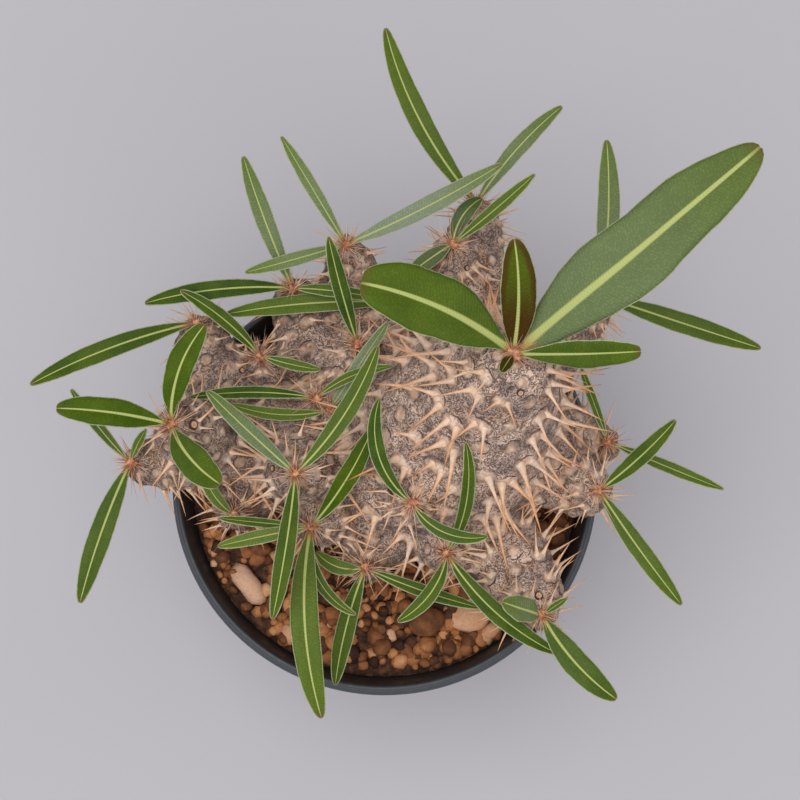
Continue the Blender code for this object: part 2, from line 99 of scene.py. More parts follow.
# Each head is a growing point: its place in millimetres, its limb and its leaves. A leaf has its
# heading in degrees about +Z from +X, its length and width in millimetres, the angle that it lifts
# by at its base, how far it droops by its tip, how far it sweeps round, how far it rolls, and its look.
HEADS = [
    Head(31.5, 21, 172, "trunk", [
        Leaf(38, 74, 18, 28, 20, 4, 0, "broad"), Leaf(160, 41.5, 15.5, 38, 30, 22, 0, "oblong"),
        Leaf(92, 29, 8.5, 50, 20, 20, 0, "maroon"), Leaf(356, 30.5, 7, 36, 26, 12, 35, "oblong"),
        Leaf(242, 13, 3, 62, 10, 0, 0, "maroon")]),
    Head(25.5, 74.5, 118, "back", [
        Leaf(120, 53.5, 6.2, 30, 20, -34), Leaf(47, 34.5, 4.8, 26, 26, -15, 0, "pale")]),
    Head(18.5, 59.5, 130, "back_shoot", [
        Leaf(37, 28, 3.5, 36, 30, 11), Leaf(56, 14, 4.6, 22, 30, -50, 0, "dusky"),
        Leaf(217, 14.5, 4.6, 22, 35, 0, 0, "dusky")]),
    Head(-10.5, 61, 124, "back_left", [
        Leaf(122, 33, 3.7, 30, 30, -3, 0, "pale"), Leaf(22, 48, 5.2, 34, 24, 17, 0, "frosted"),
        Leaf(199, 28.5, 3.9, 32, 44, -15, 0, "pale")]),
    Head(-25, 49.5, 121, "back_far", [
        Leaf(111, 37, 5, 26, 20, -8, 0, "pale"), Leaf(187, 40, 5.2, 24, 42, 9, 0, "dark"),
        Leaf(348, 25.5, 3.5, 40, 40)]),
    Head(-7, 32, 131, "middle_left", [Leaf(106, 29, 4.3, 40, 26, -8, 0, "dark")]),
    Head(-18, 18, 127, "middle", [
        Leaf(182, 33, 3.3, 26, 30, 14, 0, "dark"), Leaf(17, 23.5, 2.8, 42, 26, -30)]),
    Head(-33.5, 30.5, 122, "left_ridge", [
        Leaf(143, 27, 4, 32, 24, 21, 0, "dark"), Leaf(345, 16.5, 3, 22, 24, 15)]),
    Head(-51.5, 40.5, 118, "left_back", [Leaf(203, 47, 5.6, 22, 30, 9, 0, "dark")]),
    Head(-53.5, 7.5, 148, "left_lobe", [
        Leaf(69, 26.5, 7, 34, 30, -38, 0, "glossy"), Leaf(174, 28, 7.3, 30, 34, 9, 0, "glossy"),
        Leaf(310, 22.5, 8, 36, 26, 34, 0, "oblong")]),
    Head(-67.5, 1, 124, "left_low", [
        Leaf(253, 38.5, 6.1, 20, 30, 5), Leaf(129, 24, 3.1, 20, 20, -10), Leaf(62, 9, 2.5, 26, 20, -10)]),
    Head(-22.5, -4, 140, "front_shoulder", [
        Leaf(138, 30.5, 4.5, 34, 30, -6, 0, "pale"), Leaf(55, 39.5, 4.9, 32, 20, 31),
        Leaf(262, 37.5, 4.8, 26, 44, -10, 0, "dark")]),
    Head(-19, -16.5, 128, "front_left", [
        Leaf(56, 31, 5.3, 36, 22, 22, 0, "glossy"), Leaf(274, 50, 7.3, 26, 46, 25),
        Leaf(192, 24, 3.7, 16, 32, 0, 0, "light"), Leaf(299, 27, 3, 6, 28, 75),
        Leaf(174, 24, 2.5, 4, 20, -5, 0, "dark")]),
    Head(-40, -12.5, 120, "left_front", [Leaf(122, 17.5, 3.5, 52, 14, -50, 0, "light")]),
    Head(-5, -26.5, 118, "front_low", [
        Leaf(160, 13.5, 4, 14, 30, -63), Leaf(256, 31, 5, 14, 30, 13, 0, "dark"),
        Leaf(341, 31.5, 3.5, 16, 30, 12, 0, "dark")]),
    Head(7.5, -12, 143, "front_shoot", [
        Leaf(108, 29.5, 4, 32, 24, -74, 0, "dark"), Leaf(336, 22, 3.5, 24, 26, 75)]),
    Head(16.5, -23.5, 129, "front_right", [
        Leaf(81, 38.5, 3.5, 56, 14, 47, 0, "dark"), Leaf(233, 22, 4, 20, 40, -53, 0, "dark"),
        Leaf(318, 38, 4.8, 14, 30, 35, 0, "dark")]),
    Head(41, -39.5, 130, "right_low", [
        Leaf(166, 15, 6.5, 56, 20, -5, 0, "broad"), Leaf(34, 8.5, 2, 50, 20),
        Leaf(311, 28, 6.8, 22, 34, 30)]),
    Head(56.5, -7, 129, "right", [
        Leaf(42, 26.5, 4.6, 32, 20, 14, 0, "dark"), Leaf(304, 36, 5, 24, 38, 12)]),
    Head(61, 8, 115, "right_stub", [Leaf(336, 32.5, 3.3, 20, 28, 8), Leaf(113, 21.5, 2.5, 34, 22, -5)]),
    Head(59, 47.5, 120, "back_right", [
        Leaf(89, 41.5, 6, 34, 24, 12, 0, "pale"), Leaf(340, 45, 5.8, 22, 34, 10)]),
    Head(5.5, 45.5, 120.5, "middle_back", [
        Leaf(184, 48, 5.2, 6, 12, 11), Leaf(20, 15.5, 3.5, 38, 26, -5, 0, "pale")]),
    Head(-14.5, 15, 125, "middle", [
        Leaf(178, 26, 3.3, 26, 30, -39), Leaf(53, 29, 3.6, 36, 14, 0, 0, "frosted")]),
]

# The values of a leaf's corners: how far from the midrib against its width, how far along the side
# veins and how far from the edge in millimetres, the share of the length, and the look's first three.
LEAF_VALUES = ("rib", "slant", "edge", "share", "dark", "frost_and_sheen", "maroon")

# A look is how dark the blade is (0 pale to 1 dark), how frosted (a pale bloom that is partly painted
# sheen), how maroon, how wavy its edge, and three numbers for its outline: a higher first one moves the
# widest place to the tip, and a higher second or third one narrows the base or the tip.
LOOKS = {
    "light": (0.1, 0.15, 0.0, 0.12, 1.1, 0.58, 0.46),
    "plain": (0.62, 0.1, 0.0, 0.12, 1.1, 0.58, 0.46),
    "dark": (0.95, 0.05, 0.0, 0.1, 1.1, 0.58, 0.46),
    "dusky": (0.85, 0.35, 0.12, 0.0, 1.1, 0.56, 0.42),
    "pale": (0.45, 0.5, 0.0, 0.1, 1.1, 0.58, 0.46),
    "frosted": (0.3, 1.0, 0.0, 0.0, 1.1, 0.55, 0.46),
    "glossy": (0.82, 0.0, 0.0, 0.35, 1.2, 0.7, 0.38),
    "oblong": (0.62, 0.05, 0.0, 0.35, 1.35, 0.76, 0.32),
    "broad": (0.5, 0.4, 0.0, 0.6, 0.98, 0.7, 0.44),
    "maroon": (0.8, 0.0, 1.0, 0.1, 1.1, 0.6, 0.4),
}

# The large pebbles that show: x, y, half length, half width, half height in millimetres, turn, tone.
PEBBLES = [
    (-38.5, -29, 7, 3.5, 2.6, -50, 0.98), (24, -38, 6, 4.3, 2.4, 8, 0.84),
    (11.5, -39.5, 5.6, 4.8, 3, 20, 0.22), (-18, -46, 3.4, 2.6, 2, 70, 0.12),
    (-47, 6, 3.2, 2.4, 2, 30, 0.6)]

# The leaf scars that show: x, y, z and radius in millimetres.
SCARS = [(-49.8, 7.8, 142, 1.2), (-18.3, 17, 122, 1.0), (39.8, -35.2, 126, 1.05), (33, 13, 166, 0.9)]

RIM_RADIUS = 60 * MM
POT_HEIGHT = 100 * MM
FOOT_RADIUS = 42 * MM
FOOT_RECESS = 2 * MM
FLOOR_TOP = 5 * MM
LIP_WIDTH = 3 * MM
POT_WALL = 2.2 * MM
SOIL_LEVEL = 92 * MM
BED_DEPTH = 2.2 * MM
BED_SWELL = 1.6 * MM
BED_SWELL_LENGTH = 9 * MM
GRAIN_TRIES = 20000
TRUNK_FOOT = Vector((6, 3)) * MM
TRUNK_FOOT_RADIUS = 26 * MM
LIMB_STEP = 2 * MM
LIMB_VOXEL = 1.3 * MM
TRUNK_END_RADIUS = 8.5 * MM
LIMB_END_RADIUS = 5.5 * MM
TRUNK_BUD_RADIUS = 3.75 * MM
LIMB_BUD_RADIUS = 2.5 * MM

# How far a bud stands out of its limb's end, and how big the bud that shows is, as shares of its radius.
BUD_PROUD = 0.35
BUD_SHARE = 0.6

# The radii in millimetres at which a limb counts as wholly thin and as wholly stout.
THIN_RADIUS = 6
STOUT_RADIUS = 21

# How far a spine stays from a leaf.
BESIDE_LEAF = 0.5 * MM
BELOW_LEAF = 1.5 * MM
ABOVE_LEAF = 9 * MM

# How strongly a spine's cuts crowd towards its root.
SPINE_CROWD = 1.6

LEAF_ROWS = 26
LEAF_COLUMNS = 10
LEAF_FOLD = math.radians(12)
GOLDEN_ANGLE = math.pi * (3 - math.sqrt(5))
WELD = 0.005 * MM
CAMERA_TARGET = Vector((4.3, 22.2, 100)) * MM


def linear(red, green, blue):
    """A colour as seen on a screen, 0 to 255, as the light that it stands for."""
    return tuple(((value / 255 + 0.055) / 1.055) ** 2.4 if value > 10 else value / 255 / 12.92
                 for value in (red, green, blue))


# Making and changing meshes.

def mesh_from(name, form):
    """A mesh from a bmesh, which is freed."""
    mesh = bpy.data.meshes.new(name)
    form.to_mesh(mesh)
    form.free()
    return mesh


def form_from(mesh):
    form = bmesh.new()
    form.from_mesh(mesh)
    return form


def append_form(whole, part):
    """Adds one small bmesh to a large one."""
    mesh = mesh_from("part", part)
    whole.from_mesh(mesh)
    bpy.data.meshes.remove(mesh)


def make_piece(name, form, material, slot=None):
    """An object from a bmesh. With a slot, it rides on the plant's one body."""
    bmesh.ops.recalc_face_normals(form, faces=form.faces)
    piece = bpy.data.objects.new(name, mesh_from(name, form))
    bpy.context.scene.collection.objects.link(piece)
    piece.data.shade_smooth()
    if material:
        piece.data.materials.append(material)
    if slot:
        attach(piece, "root")
    return piece


def apply_modifiers(piece):
    graph = bpy.context.evaluated_depsgraph_get()
    mesh = bpy.data.meshes.new_from_object(piece.evaluated_get(graph))
    piece.modifiers.clear()
    piece.data = mesh


def thicken(piece, thickness):
    """Gives a flat piece two faces, half the thickness to each side."""
    modifier = piece.modifiers.new("Thicken", "SOLIDIFY")
    modifier.thickness = thickness
    modifier.offset = 0


def give_values(piece, name, values):
    """A number for each corner of a mesh, which its material reads."""
    layer = piece.data.attributes.new(name, "FLOAT", "POINT")
    layer.data.foreach_set("value", np.asarray(values, np.float32))


def search_tree(piece):
    corners = [point.co.copy() for point in piece.data.vertices]
    return BVHTree.FromPolygons(corners, [list(face.vertices) for face in piece.data.polygons])


def turn_to(direction):
    return direction.to_track_quat("Z", "Y").to_matrix().to_4x4()


def smooth_step(value, low, high):
    share = min(1.0, max(0.0, (value - low) / (high - low)))
    return share * share * (3 - 2 * share)


def rod_mesh(name, sides, cuts):
    """A closed rod, one long and two wide, cut across so that it can bend and taper."""
    rod = bmesh.new()
    bmesh.ops.create_cone(rod, cap_ends=True, segments=sides, radius1=1.0, radius2=1.0, depth=1.0)
    uprights = [edge for edge in rod.edges if abs(edge.verts[0].co.z - edge.verts[1].co.z) > 0.5]
    bmesh.ops.subdivide_edges(rod, edges=uprights, cuts=cuts, use_grid_fill=True)
    return mesh_from(name, rod)


def rod_form(source, root, direction, length, thickness, draw, sway, sag=0.0, crowd=1.0):
    """One curved rod. Its thickness is a radius for each share of its length, and a higher crowd
    draws its cuts towards the root."""
    form = form_from(source)
    turn = turn_to(direction).to_3x3()
    bend = turn @ Vector((draw.gauss(0, 1), draw.gauss(0, 1), 0)) * length * sway
    bend -= Vector((0, 0, sag)) * length
    for corner in form.verts:
        share = (corner.co.z + 0.5) ** crowd
        radius = thickness(share)
        aside = turn @ Vector((corner.co.x * radius, corner.co.y * radius, 0))
        corner.co = root + direction * (share * length) + aside + bend * share ** 2
    return form


# Building materials.

class Finish:
    """A material in the making, from patterns on the object's coordinates and from its own values."""

    def __init__(self, name):
        self.material = bpy.data.materials.new(name)
        self.material.use_nodes = True
        self.tree = self.material.node_tree
        self.place = self.node("ShaderNodeTexCoord").outputs["Object"]

    def put(self, target, value):
        """Sets a socket to a value or a colour, or links it to another socket."""
        if isinstance(value, bpy.types.NodeSocket):
            self.tree.links.new(value, target)
        elif target.type == "RGBA":
            target.default_value = (*value, 1.0)
        else:
            target.default_value = value

    def node(self, kind, inputs=(), **settings):
        """A new node. Its inputs are given by name or by number."""
        node = self.tree.nodes.new(kind)
        for name, value in settings.items():
            setattr(node, name, value)
        for name, value in dict(inputs).items():
            self.put(node.inputs[name], value)
        return node

    def maths(self, operation, *values):
        return self.node("ShaderNodeMath", enumerate(values), operation=operation).outputs[0]

    def plus(self, first, second):
        return self.maths("ADD", first, second)

    def less(self, first, second):
        return self.maths("SUBTRACT", first, second)

    def times(self, first, second):
        return self.maths("MULTIPLY", first, second)

    def step(self, value, low, high, out_low=0.0, out_high=1.0):
        inputs = enumerate((value, low, high, out_low, out_high))
        return self.node("ShaderNodeMapRange", inputs, interpolation_type="SMOOTHSTEP").outputs[0]

    def blend(self, share, first, second, way="MIX"):
        inputs = {0: share, 6: first, 7: second}
        return self.node("ShaderNodeMix", inputs, data_type="RGBA", blend_type=way).outputs[2]

    def shade(self, colour, light):
        return self.blend(1.0, colour, light, "MULTIPLY")

    def row(self, value, stops):
        """Colours that follow one another as a value goes from 0 to 1."""
        node = self.node("ShaderNodeValToRGB", {"Fac": value})
        elements = node.color_ramp.elements
        while len(elements) < len(stops):
            elements.new(0.5)
        for element, (place, colour) in zip(elements, stops):
            element.position = place
            element.color = (*colour, 1.0)
        return node.outputs["Color"]

    def grain(self, scale, detail=3.0, distortion=0.0):
        inputs = {"Vector": self.place, "Scale": scale, "Detail": detail, "Distortion": distortion}
        return self.node("ShaderNodeTexNoise", inputs).outputs[0]

    def value(self, name):
        return self.node("ShaderNodeAttribute", attribute_name=name).outputs["Fac"]

    def axes(self):
        return self.node("ShaderNodeSeparateXYZ", {"Vector": self.place}).outputs

    def done(self, colour, roughness, specular=0.5, height=None, rise=0.0, strength=1.0):
        """The finished material. A height raises bumps on it by up to the rise."""
        shader = self.tree.nodes["Principled BSDF"]
        self.put(shader.inputs["Base Color"], colour)
        self.put(shader.inputs["Roughness"], roughness)
        shader.inputs["Specular IOR Level"].default_value = specular
        if height is not None:
            bump = self.node("ShaderNodeBump", {"Height": height, "Distance": rise, "Strength": strength})
            self.put(shader.inputs["Normal"], bump.outputs[0])
        return self.material


def plastic_material(settings):
    """Black moulded plastic with a painted slate reflection on the outside of its lip, fine grain and faint
    dust.
    """
    made = Finish("moulded_plastic")
    axes = made.axes()
    squares = made.plus(made.maths("POWER", axes["X"], 2.0), made.maths("POWER", axes["Y"], 2.0))
    # Painted reflection: the outside of the lip is coloured a lighter slate, standing in for the skylight
    # that its glossy rounded top reflects.
    outside = made.step(made.maths("SQRT", squares), RIM_RADIUS - 2.4 * MM, RIM_RADIUS - 0.4 * MM)
    lip = made.times(outside, made.step(axes["Z"], POT_HEIGHT - 12 * MM, POT_HEIGHT - 8 * MM))
    colour = made.blend(lip, settings.wall_colour, settings.lip_sheen_colour)
    dust = made.step(made.grain(700.0, 5.0), 0.5, 0.8, 0.0, 0.08)
    colour = made.blend(dust, colour, linear(118, 112, 108))
    roughness = made.step(made.grain(500.0), 0.3, 0.7, 0.46, 0.54)
    return made.done(colour, roughness, 0.5, made.grain(2600.0, 2.0), 0.05 * MM, 0.5)


def stone_material():
    """Baked clay and pumice grains: a tone for each grain, lightly pitted and dusty."""
    made = Finish("grit_grains")
    tone = made.plus(made.value("tone"), made.times(made.less(made.grain(420.0), 0.5), 0.45))
    colour = made.row(tone, [
        (0.0, linear(56, 35, 26)), (0.2, linear(100, 62, 38)), (0.42, linear(150, 96, 57)),
        (0.62, linear(190, 130, 82)), (0.8, linear(200, 153, 116)), (1.0, linear(204, 164, 136))])
    pits = made.step(made.grain(1500.0, 4.0), 0.34, 0.5, 0.84, 1.0)
    return made.done(made.shade(colour, pits), 0.85, 0.25, made.grain(1300.0, 4.0), 0.25 * MM, 0.7)


def bed_material():
    """The finer dark grit between the grains."""
    made = Finish("fine_grit")
    colour = made.row(made.grain(500.0, 5.0), [
        (0.3, linear(34, 23, 17)), (0.5, linear(72, 46, 31)), (0.7, linear(118, 76, 48))])
    return made.done(colour, 1.0, 0.5, made.grain(700.0, 6.0), 1.2 * MM)


def bark_material(settings):
    """Pinkish-grey bark with fine worm-like wrinkles, cream to tan on its pads and dark round them. It has
    painted shade in its hollows and on the thin limbs, most of all on the left, and is darker low down,
    partly from dust and partly from painted shade."""
    made = Finish("wrinkled_bark")
    axes = made.axes()
    pad, thin = made.value("pad"), made.value("thin")
    colour = made.row(made.grain(150.0, 4.0), [
        (0.32, linear(162, 146, 141)), (0.5, linear(208, 187, 175)), (0.68, linear(242, 220, 204))])
    colour = made.shade(colour, settings.bark_colour)
    tan = made.times(made.step(made.grain(210.0), 0.5, 0.64), made.plus(0.35, made.times(thin, 0.4)))
    colour = made.blend(tan, colour, linear(176, 136, 104))
    off_line = made.maths("ABSOLUTE", made.less(made.grain(760.0, 1.0, 1.6), 0.5))
    groove = made.times(made.step(off_line, 0.01, 0.07, 1.0, 0.0), made.less(1.0, pad))
    colour = made.blend(made.times(groove, 0.8), colour, linear(68, 57, 54))
    cream = made.step(made.grain(380.0), 0.38, 0.6)
    pad_colour = made.blend(cream, linear(182, 146, 118), settings.pad_colour)
    worn = made.step(made.grain(520.0), 0.36, 0.56, 0.4, 0.95)
    colour = made.blend(made.times(made.step(pad, 0.25, 0.85), worn), colour, pad_colour)
    ring = made.times(made.step(pad, 0.02, 0.14), made.step(pad, 0.2, 0.5, 1.0, 0.0))
    ring = made.times(ring, made.step(made.grain(240.0, 2.0), 0.42, 0.58))
    colour = made.blend(made.times(ring, 0.6), colour, linear(76, 58, 50))
    # Painted shade: the bark is darkened in the hollows between its swells.
    colour = made.blend(made.times(made.value("hollow_shade"), 0.66), colour, linear(72, 58, 52))
    # Darker and browner low down towards the soil: partly dust, partly painted shade.
    low_dust_and_shade = made.step(axes["Z"], SOIL_LEVEL + 34 * MM, SOIL_LEVEL + 10 * MM)
    colour = made.blend(made.times(low_dust_and_shade, 0.6), colour, linear(96, 74, 58))
    # Painted shade: the thin limbs are darkened as a whole, pads included, most strongly on the left.
    painted_limb_shade = made.times(thin, made.step(axes["X"], -30 * MM, 20 * MM, 0.34, 0.1))
    colour = made.shade(colour, made.less(1.0, painted_limb_shade))
    height = made.less(made.times(made.grain(420.0), 0.8), groove)
    return made.done(colour, 0.78, 0.3, height, 0.3 * MM)


def spine_material(settings):
    """Horny spines: cream at the root, peach along the middle, tan to red-brown at the very tip."""
    made = Finish("horny_spine")
    along = made.plus(made.value("along"), made.times(made.less(made.value("tone"), 0.5), 0.3))
    colour = made.row(along, [
        (0.0, settings.pad_colour), (0.22, linear(228, 190, 158)), (0.5, linear(222, 170, 128)),
        (0.86, linear(204, 144, 100)), (1.0, linear(148, 86, 60))])
    streak = made.step(made.grain(900.0), 0.4, 0.65, 0.84, 1.0)
    return made.done(made.shade(colour, streak), 0.5, 0.4, made.grain(1400.0, 2.0), 0.06 * MM, 0.6)


def crack_material():
    """The dark inside of a crack in the bark."""
    made = Finish("bark_crack")
    colour = made.row(made.grain(900.0), [(0.35, linear(54, 44, 42)), (0.65, linear(106, 88, 80))])
    return made.done(colour, 0.95)


def scar_material():
    """A dried leaf scar: a dark outline, a cream to orange ring and a brown middle."""
    made = Finish("leaf_scar")
    colour = made.row(made.value("ring"), [
        (0.0, linear(62, 44, 38)), (0.22, linear(78, 54, 44)), (0.38, linear(206, 166, 134)),
        (0.6, linear(200, 148, 110)), (0.8, linear(128, 84, 62)), (1.0, linear(180, 134, 104))])
    return made.done(colour, 0.8, 0.5, made.grain(1500.0), 0.1 * MM, 0.6)


def bristle_material():
    """The dry hairs and stipules round a growing point, mostly golden, a few red-brown."""
    made = Finish("crown_bristle")
    colour = made.row(made.value("tone"), [
        (0.0, linear(150, 78, 58)), (0.18, linear(200, 140, 110)), (0.45, linear(230, 186, 150)),
        (1.0, linear(240, 208, 178))])
    return made.done(colour, 0.6)


def bud_material():
    """A woolly bud, from red-brown to straw."""
    made = Finish("crown_bud")
    colour = made.row(made.grain(700.0), [
        (0.35, linear(120, 66, 50)), (0.52, linear(180, 120, 88)), (0.68, linear(224, 172, 128))])
    return made.done(colour, 0.75, 0.5, made.grain(1100.0), 0.4 * MM, 0.9)


def leaf_material(settings):
    """Leathery blade: olive green, a pale midrib, close side veins, a fine pebbled face with painted
    highlights, a pale bluish bloom that is partly painted sheen, a pale edge.
    """
    made = Finish("leather_leaf")
    share, frost_and_sheen = made.value("share"), made.value("frost_and_sheen")
    colour = made.blend(made.value("dark"), linear(96, 114, 26), settings.blade_colour)
    mottle = made.step(made.grain(140.0, 4.0), 0.3, 0.7)
    colour = made.blend(made.times(mottle, 0.3), colour, linear(94, 112, 20))
    # A pale bluish bloom towards the base: partly the leaf's waxy bloom, partly painted sheen.
    bloom_and_sheen = made.times(frost_and_sheen, made.step(share, 0.4, 1.0, 0.78, 0.3))
    colour = made.blend(bloom_and_sheen, colour, linear(136, 145, 126))
    edge = made.plus(made.value("edge"), made.times(made.grain(800.0), 0.2))
    brown = made.maths(
        "MAXIMUM", made.step(share, 0.25, 0.75, 1.0, 0.2), made.step(edge, 0.9, 2.6, 0.85, 0.0))
    colour = made.blend(made.times(made.value("maroon"), brown), colour, linear(66, 44, 8))
    cells = made.node("ShaderNodeTexVoronoi", {"Vector": made.place, "Scale": 1500.0})
    pebble = made.step(cells.outputs["Distance"], 0.0, 0.6, 1.0, 0.0)
    slant = made.plus(made.value("slant"), made.times(made.grain(300.0), 0.6))
    vein = made.step(made.maths("SINE", made.times(slant, 7.6)), 0.5, 1.0)
    # Painted highlight on the middle of each pebbled cell. The side veins are paler in their own colour.
    pebble_highlight_and_veins = made.plus(made.times(pebble, 0.3), made.times(vein, 0.22))
    colour = made.shade(colour, made.plus(0.9, pebble_highlight_and_veins))
    rim = made.step(edge, 0.16, 0.4, 1.0, 0.0)
    colour = made.blend(made.times(rim, 0.7), colour, settings.margin_colour)
    rib = made.step(made.value("rib"), 0.55, 1.2, 1.0, 0.0)
    colour = made.blend(made.times(rib, 0.9), colour, settings.midrib_colour)
    dry = made.step(share, 0.93, 1.0, 0.0, 0.55)
    colour = made.blend(dry, colour, linear(92, 74, 34))
    stalk = made.step(share, 0.0, 0.1, 0.65, 0.0)
    colour = made.blend(stalk, colour, linear(172, 100, 62))
    roughness = made.plus(made.step(frost_and_sheen, 0.0, 1.0, 0.45, 0.65), made.times(pebble, 0.12))
    height = made.less(made.plus(made.times(pebble, 0.4), made.times(rib, 1.4)), made.times(vein, 0.8))
    return made.done(colour, roughness, 0.08, height, 0.14 * MM, 0.7)


def floor_material(settings):
    """A plain matt floor with hardly any unevenness in its colour."""
    made = Finish("studio_floor")
    cloud = made.step(made.grain(5.0, 2.0), 0.3, 0.7, 0.97, 1.0)
    return made.done(made.shade(settings.floor_colour, cloud), 0.9)


# The pot and what fills it.

def inner_radius(height):
    """The inside radius of the pot's wall at a height."""
    top = RIM_RADIUS - LIP_WIDTH
    bottom = FOOT_RADIUS - POT_WALL - 1.2 * MM
    return bottom + (top - bottom) * (height - FLOOR_TOP) / (POT_HEIGHT - FLOOR_TOP)


def arc_points(middle, radius, start, end, count):
    """Points round part of a circle in a turned profile, from one angle in degrees to another."""
    turns = [math.radians(start + (end - start) * number / count) for number in range(count + 1)]
    return [(middle[0] + radius * math.cos(turn), middle[1] + radius * math.sin(turn)) for turn in turns]


def turned_form(profile, steps):
    """A closed form from a profile of (radius, height), spun round +Z."""
    form = bmesh.new()
    points = [form.verts.new((radius, 0, height)) for radius, height in profile]
    edges = [form.edges.new(pair) for pair in zip(points, points[1:])]
    bmesh.ops.spin(
        form, geom=points + edges, cent=(0, 0, 0), axis=(0, 0, 1), dvec=(0, 0, 0),
        angle=2 * math.pi, steps=steps, use_merge=True, use_duplicate=False)
    bmesh.ops.remove_doubles(form, verts=form.verts, dist=WELD)
    return form


def pot_profile():
    inner_top = POT_HEIGHT - 2 * MM
    under_lip = POT_HEIGHT - 9 * MM
    outer = inner_radius(under_lip) + POT_WALL
    return [
        (0, FLOOR_TOP),
        (inner_radius(FLOOR_TOP) - 2 * MM, FLOOR_TOP),
        (inner_radius(FLOOR_TOP), FLOOR_TOP + 1.5 * MM),
        (inner_radius(SOIL_LEVEL), SOIL_LEVEL),
        (inner_radius(inner_top), inner_top),
        *arc_points((RIM_RADIUS - 1.9 * MM, POT_HEIGHT - 1 * MM), 1 * MM, 160, 50, 6),
        *arc_points((RIM_RADIUS - 2.2 * MM, POT_HEIGHT - 4 * MM), 2.2 * MM, 48, 0, 6),
        *arc_points((RIM_RADIUS - 0.8 * MM, under_lip + 0.9 * MM), 0.7 * MM, 0, -90, 4),
        (outer + 0.7 * MM, under_lip + 0.15 * MM),
        (outer, under_lip - 0.6 * MM),
        (FOOT_RADIUS + 1.1 * MM, 9 * MM),
        (FOOT_RADIUS + 0.8 * MM, 8.6 * MM),
        *arc_points((FOOT_RADIUS - 1 * MM, 1.4 * MM), 1.4 * MM, -5, -90, 5),
        (FOOT_RADIUS - 4.5 * MM, 0),
        (FOOT_RADIUS - 5.5 * MM, FOOT_RECESS),
        (13 * MM, FOOT_RECESS),
        (12 * MM, 0),
        (0, 0),
    ]


def make_pot(settings):
    """The turned pot, with its drain holes cut through the floor."""
    form = turned_form(pot_profile(), settings.steps)
    pot = make_piece("moulded_pot", form, plastic_material(settings), "black_plastic")
    holes = bmesh.new()
    for number in range(settings.drains):
        turn = 2 * math.pi * number / settings.drains
        middle = (settings.drain_ring * math.cos(turn), settings.drain_ring * math.sin(turn), 3 * MM)
        bmesh.ops.create_cone(
            holes, cap_ends=True, segments=24, radius1=settings.drain_radius, radius2=settings.drain_radius,
            depth=12 * MM, matrix=Matrix.Translation(middle))
    cutter = make_piece("drain_cutter", holes, None)
    cut = pot.modifiers.new("Drains", "BOOLEAN")
    cut.object = cutter
    apply_modifiers(pot)
    bpy.data.objects.remove(cutter, do_unlink=True)
    pot.data.set_sharp_from_angle(angle=math.radians(38))
    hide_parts("pot")


def bed_height(x, y):
    """How high the fine grit stands at a place."""
    swell = noise.noise(Vector((x, y, 0)) / BED_SWELL_LENGTH)
    return SOIL_LEVEL - BED_DEPTH + BED_SWELL * swell


def make_bed():
    """The bed of fine grit that fills the pot, with a gently uneven top."""
    edge = inner_radius(SOIL_LEVEL) - 0.6 * MM
    bottom = FLOOR_TOP + 0.3 * MM
    rings = 20
    profile = [(edge * ring / rings, SOIL_LEVEL) for ring in range(rings + 1)]
    profile += [(inner_radius(FLOOR_TOP) - 2.6 * MM, bottom), (0, bottom)]
    form = turned_form(profile, steps=96)
    for corner in form.verts:
        if corner.co.z > SOIL_LEVEL - 0.1 * MM:
            corner.co.z = bed_height(corner.co.x, corner.co.y)
    bed = make_piece("fine_grit", form, bed_material(), "grit")
    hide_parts("soil")


def find_grains(settings):
    """(radii, spin, place, seed, tone) of each grain: the pebbles, then random ones clear of them."""
    found = []
    for x, y, long_side, short_side, high, turn, tone in PEBBLES:
        radii = Vector((long_side, short_side, high)) * MM
        spin = Matrix.Rotation(math.radians(turn), 4, "Z")
        place = Vector((x * MM, y * MM, SOIL_LEVEL - 0.2 * MM))
        found.append((radii, spin, place, Vector((x, y, 0)), tone))
    draw = random.Random(settings.seed)
    tries = 0
    while len(found) < settings.grains and tries < GRAIN_TRIES:
        tries += 1
        turn, reach = draw.uniform(0, 2 * math.pi), math.sqrt(draw.uniform(0.0, 1.0))
        size = settings.grain_small + (settings.grain_large - settings.grain_small) * draw.random() ** 1.7
        reach *= inner_radius(SOIL_LEVEL) - 1.2 * size
        x, y = reach * math.cos(turn), reach * math.sin(turn)
        if math.hypot(x - TRUNK_FOOT.x, y - TRUNK_FOOT.y) < TRUNK_FOOT_RADIUS:
            continue
        if any(math.hypot(x - big[0] * MM, y - big[1] * MM) < big[3] * MM + 0.3 * size for big in PEBBLES):
            continue
        radii = Vector([size * draw.uniform(0.72, 1.12) for _ in "xyz"])
        turn = draw.uniform(0, 6.28)
        spin = Matrix.Rotation(turn, 4, Vector([draw.gauss(0, 1) for _ in "xyz"]).normalized())
        place = Vector((x, y, bed_height(x, y) + size * draw.uniform(0.1, 1.0)))
        seed = Vector([draw.uniform(0, 50) for _ in "xyz"])
        found.append((radii, spin, place, seed, min(1.0, max(0.0, draw.gauss(0.37, 0.24)))))
    return found


def stone_form(source, radii, spin, place, seed):
    """One rounded, slightly broken grain."""
    form = form_from(source)
    for corner in form.verts:
        lumps = noise.noise(corner.co * 1.3 + seed) * 0.3 + noise.noise(corner.co * 3.1 + seed) * 0.06
        corner.co *= 1 + lumps
    shape = Matrix.Translation(place) @ spin @ Matrix.Diagonal((*radii, 1))
    bmesh.ops.transform(form, matrix=shape, verts=form.verts)
    return form


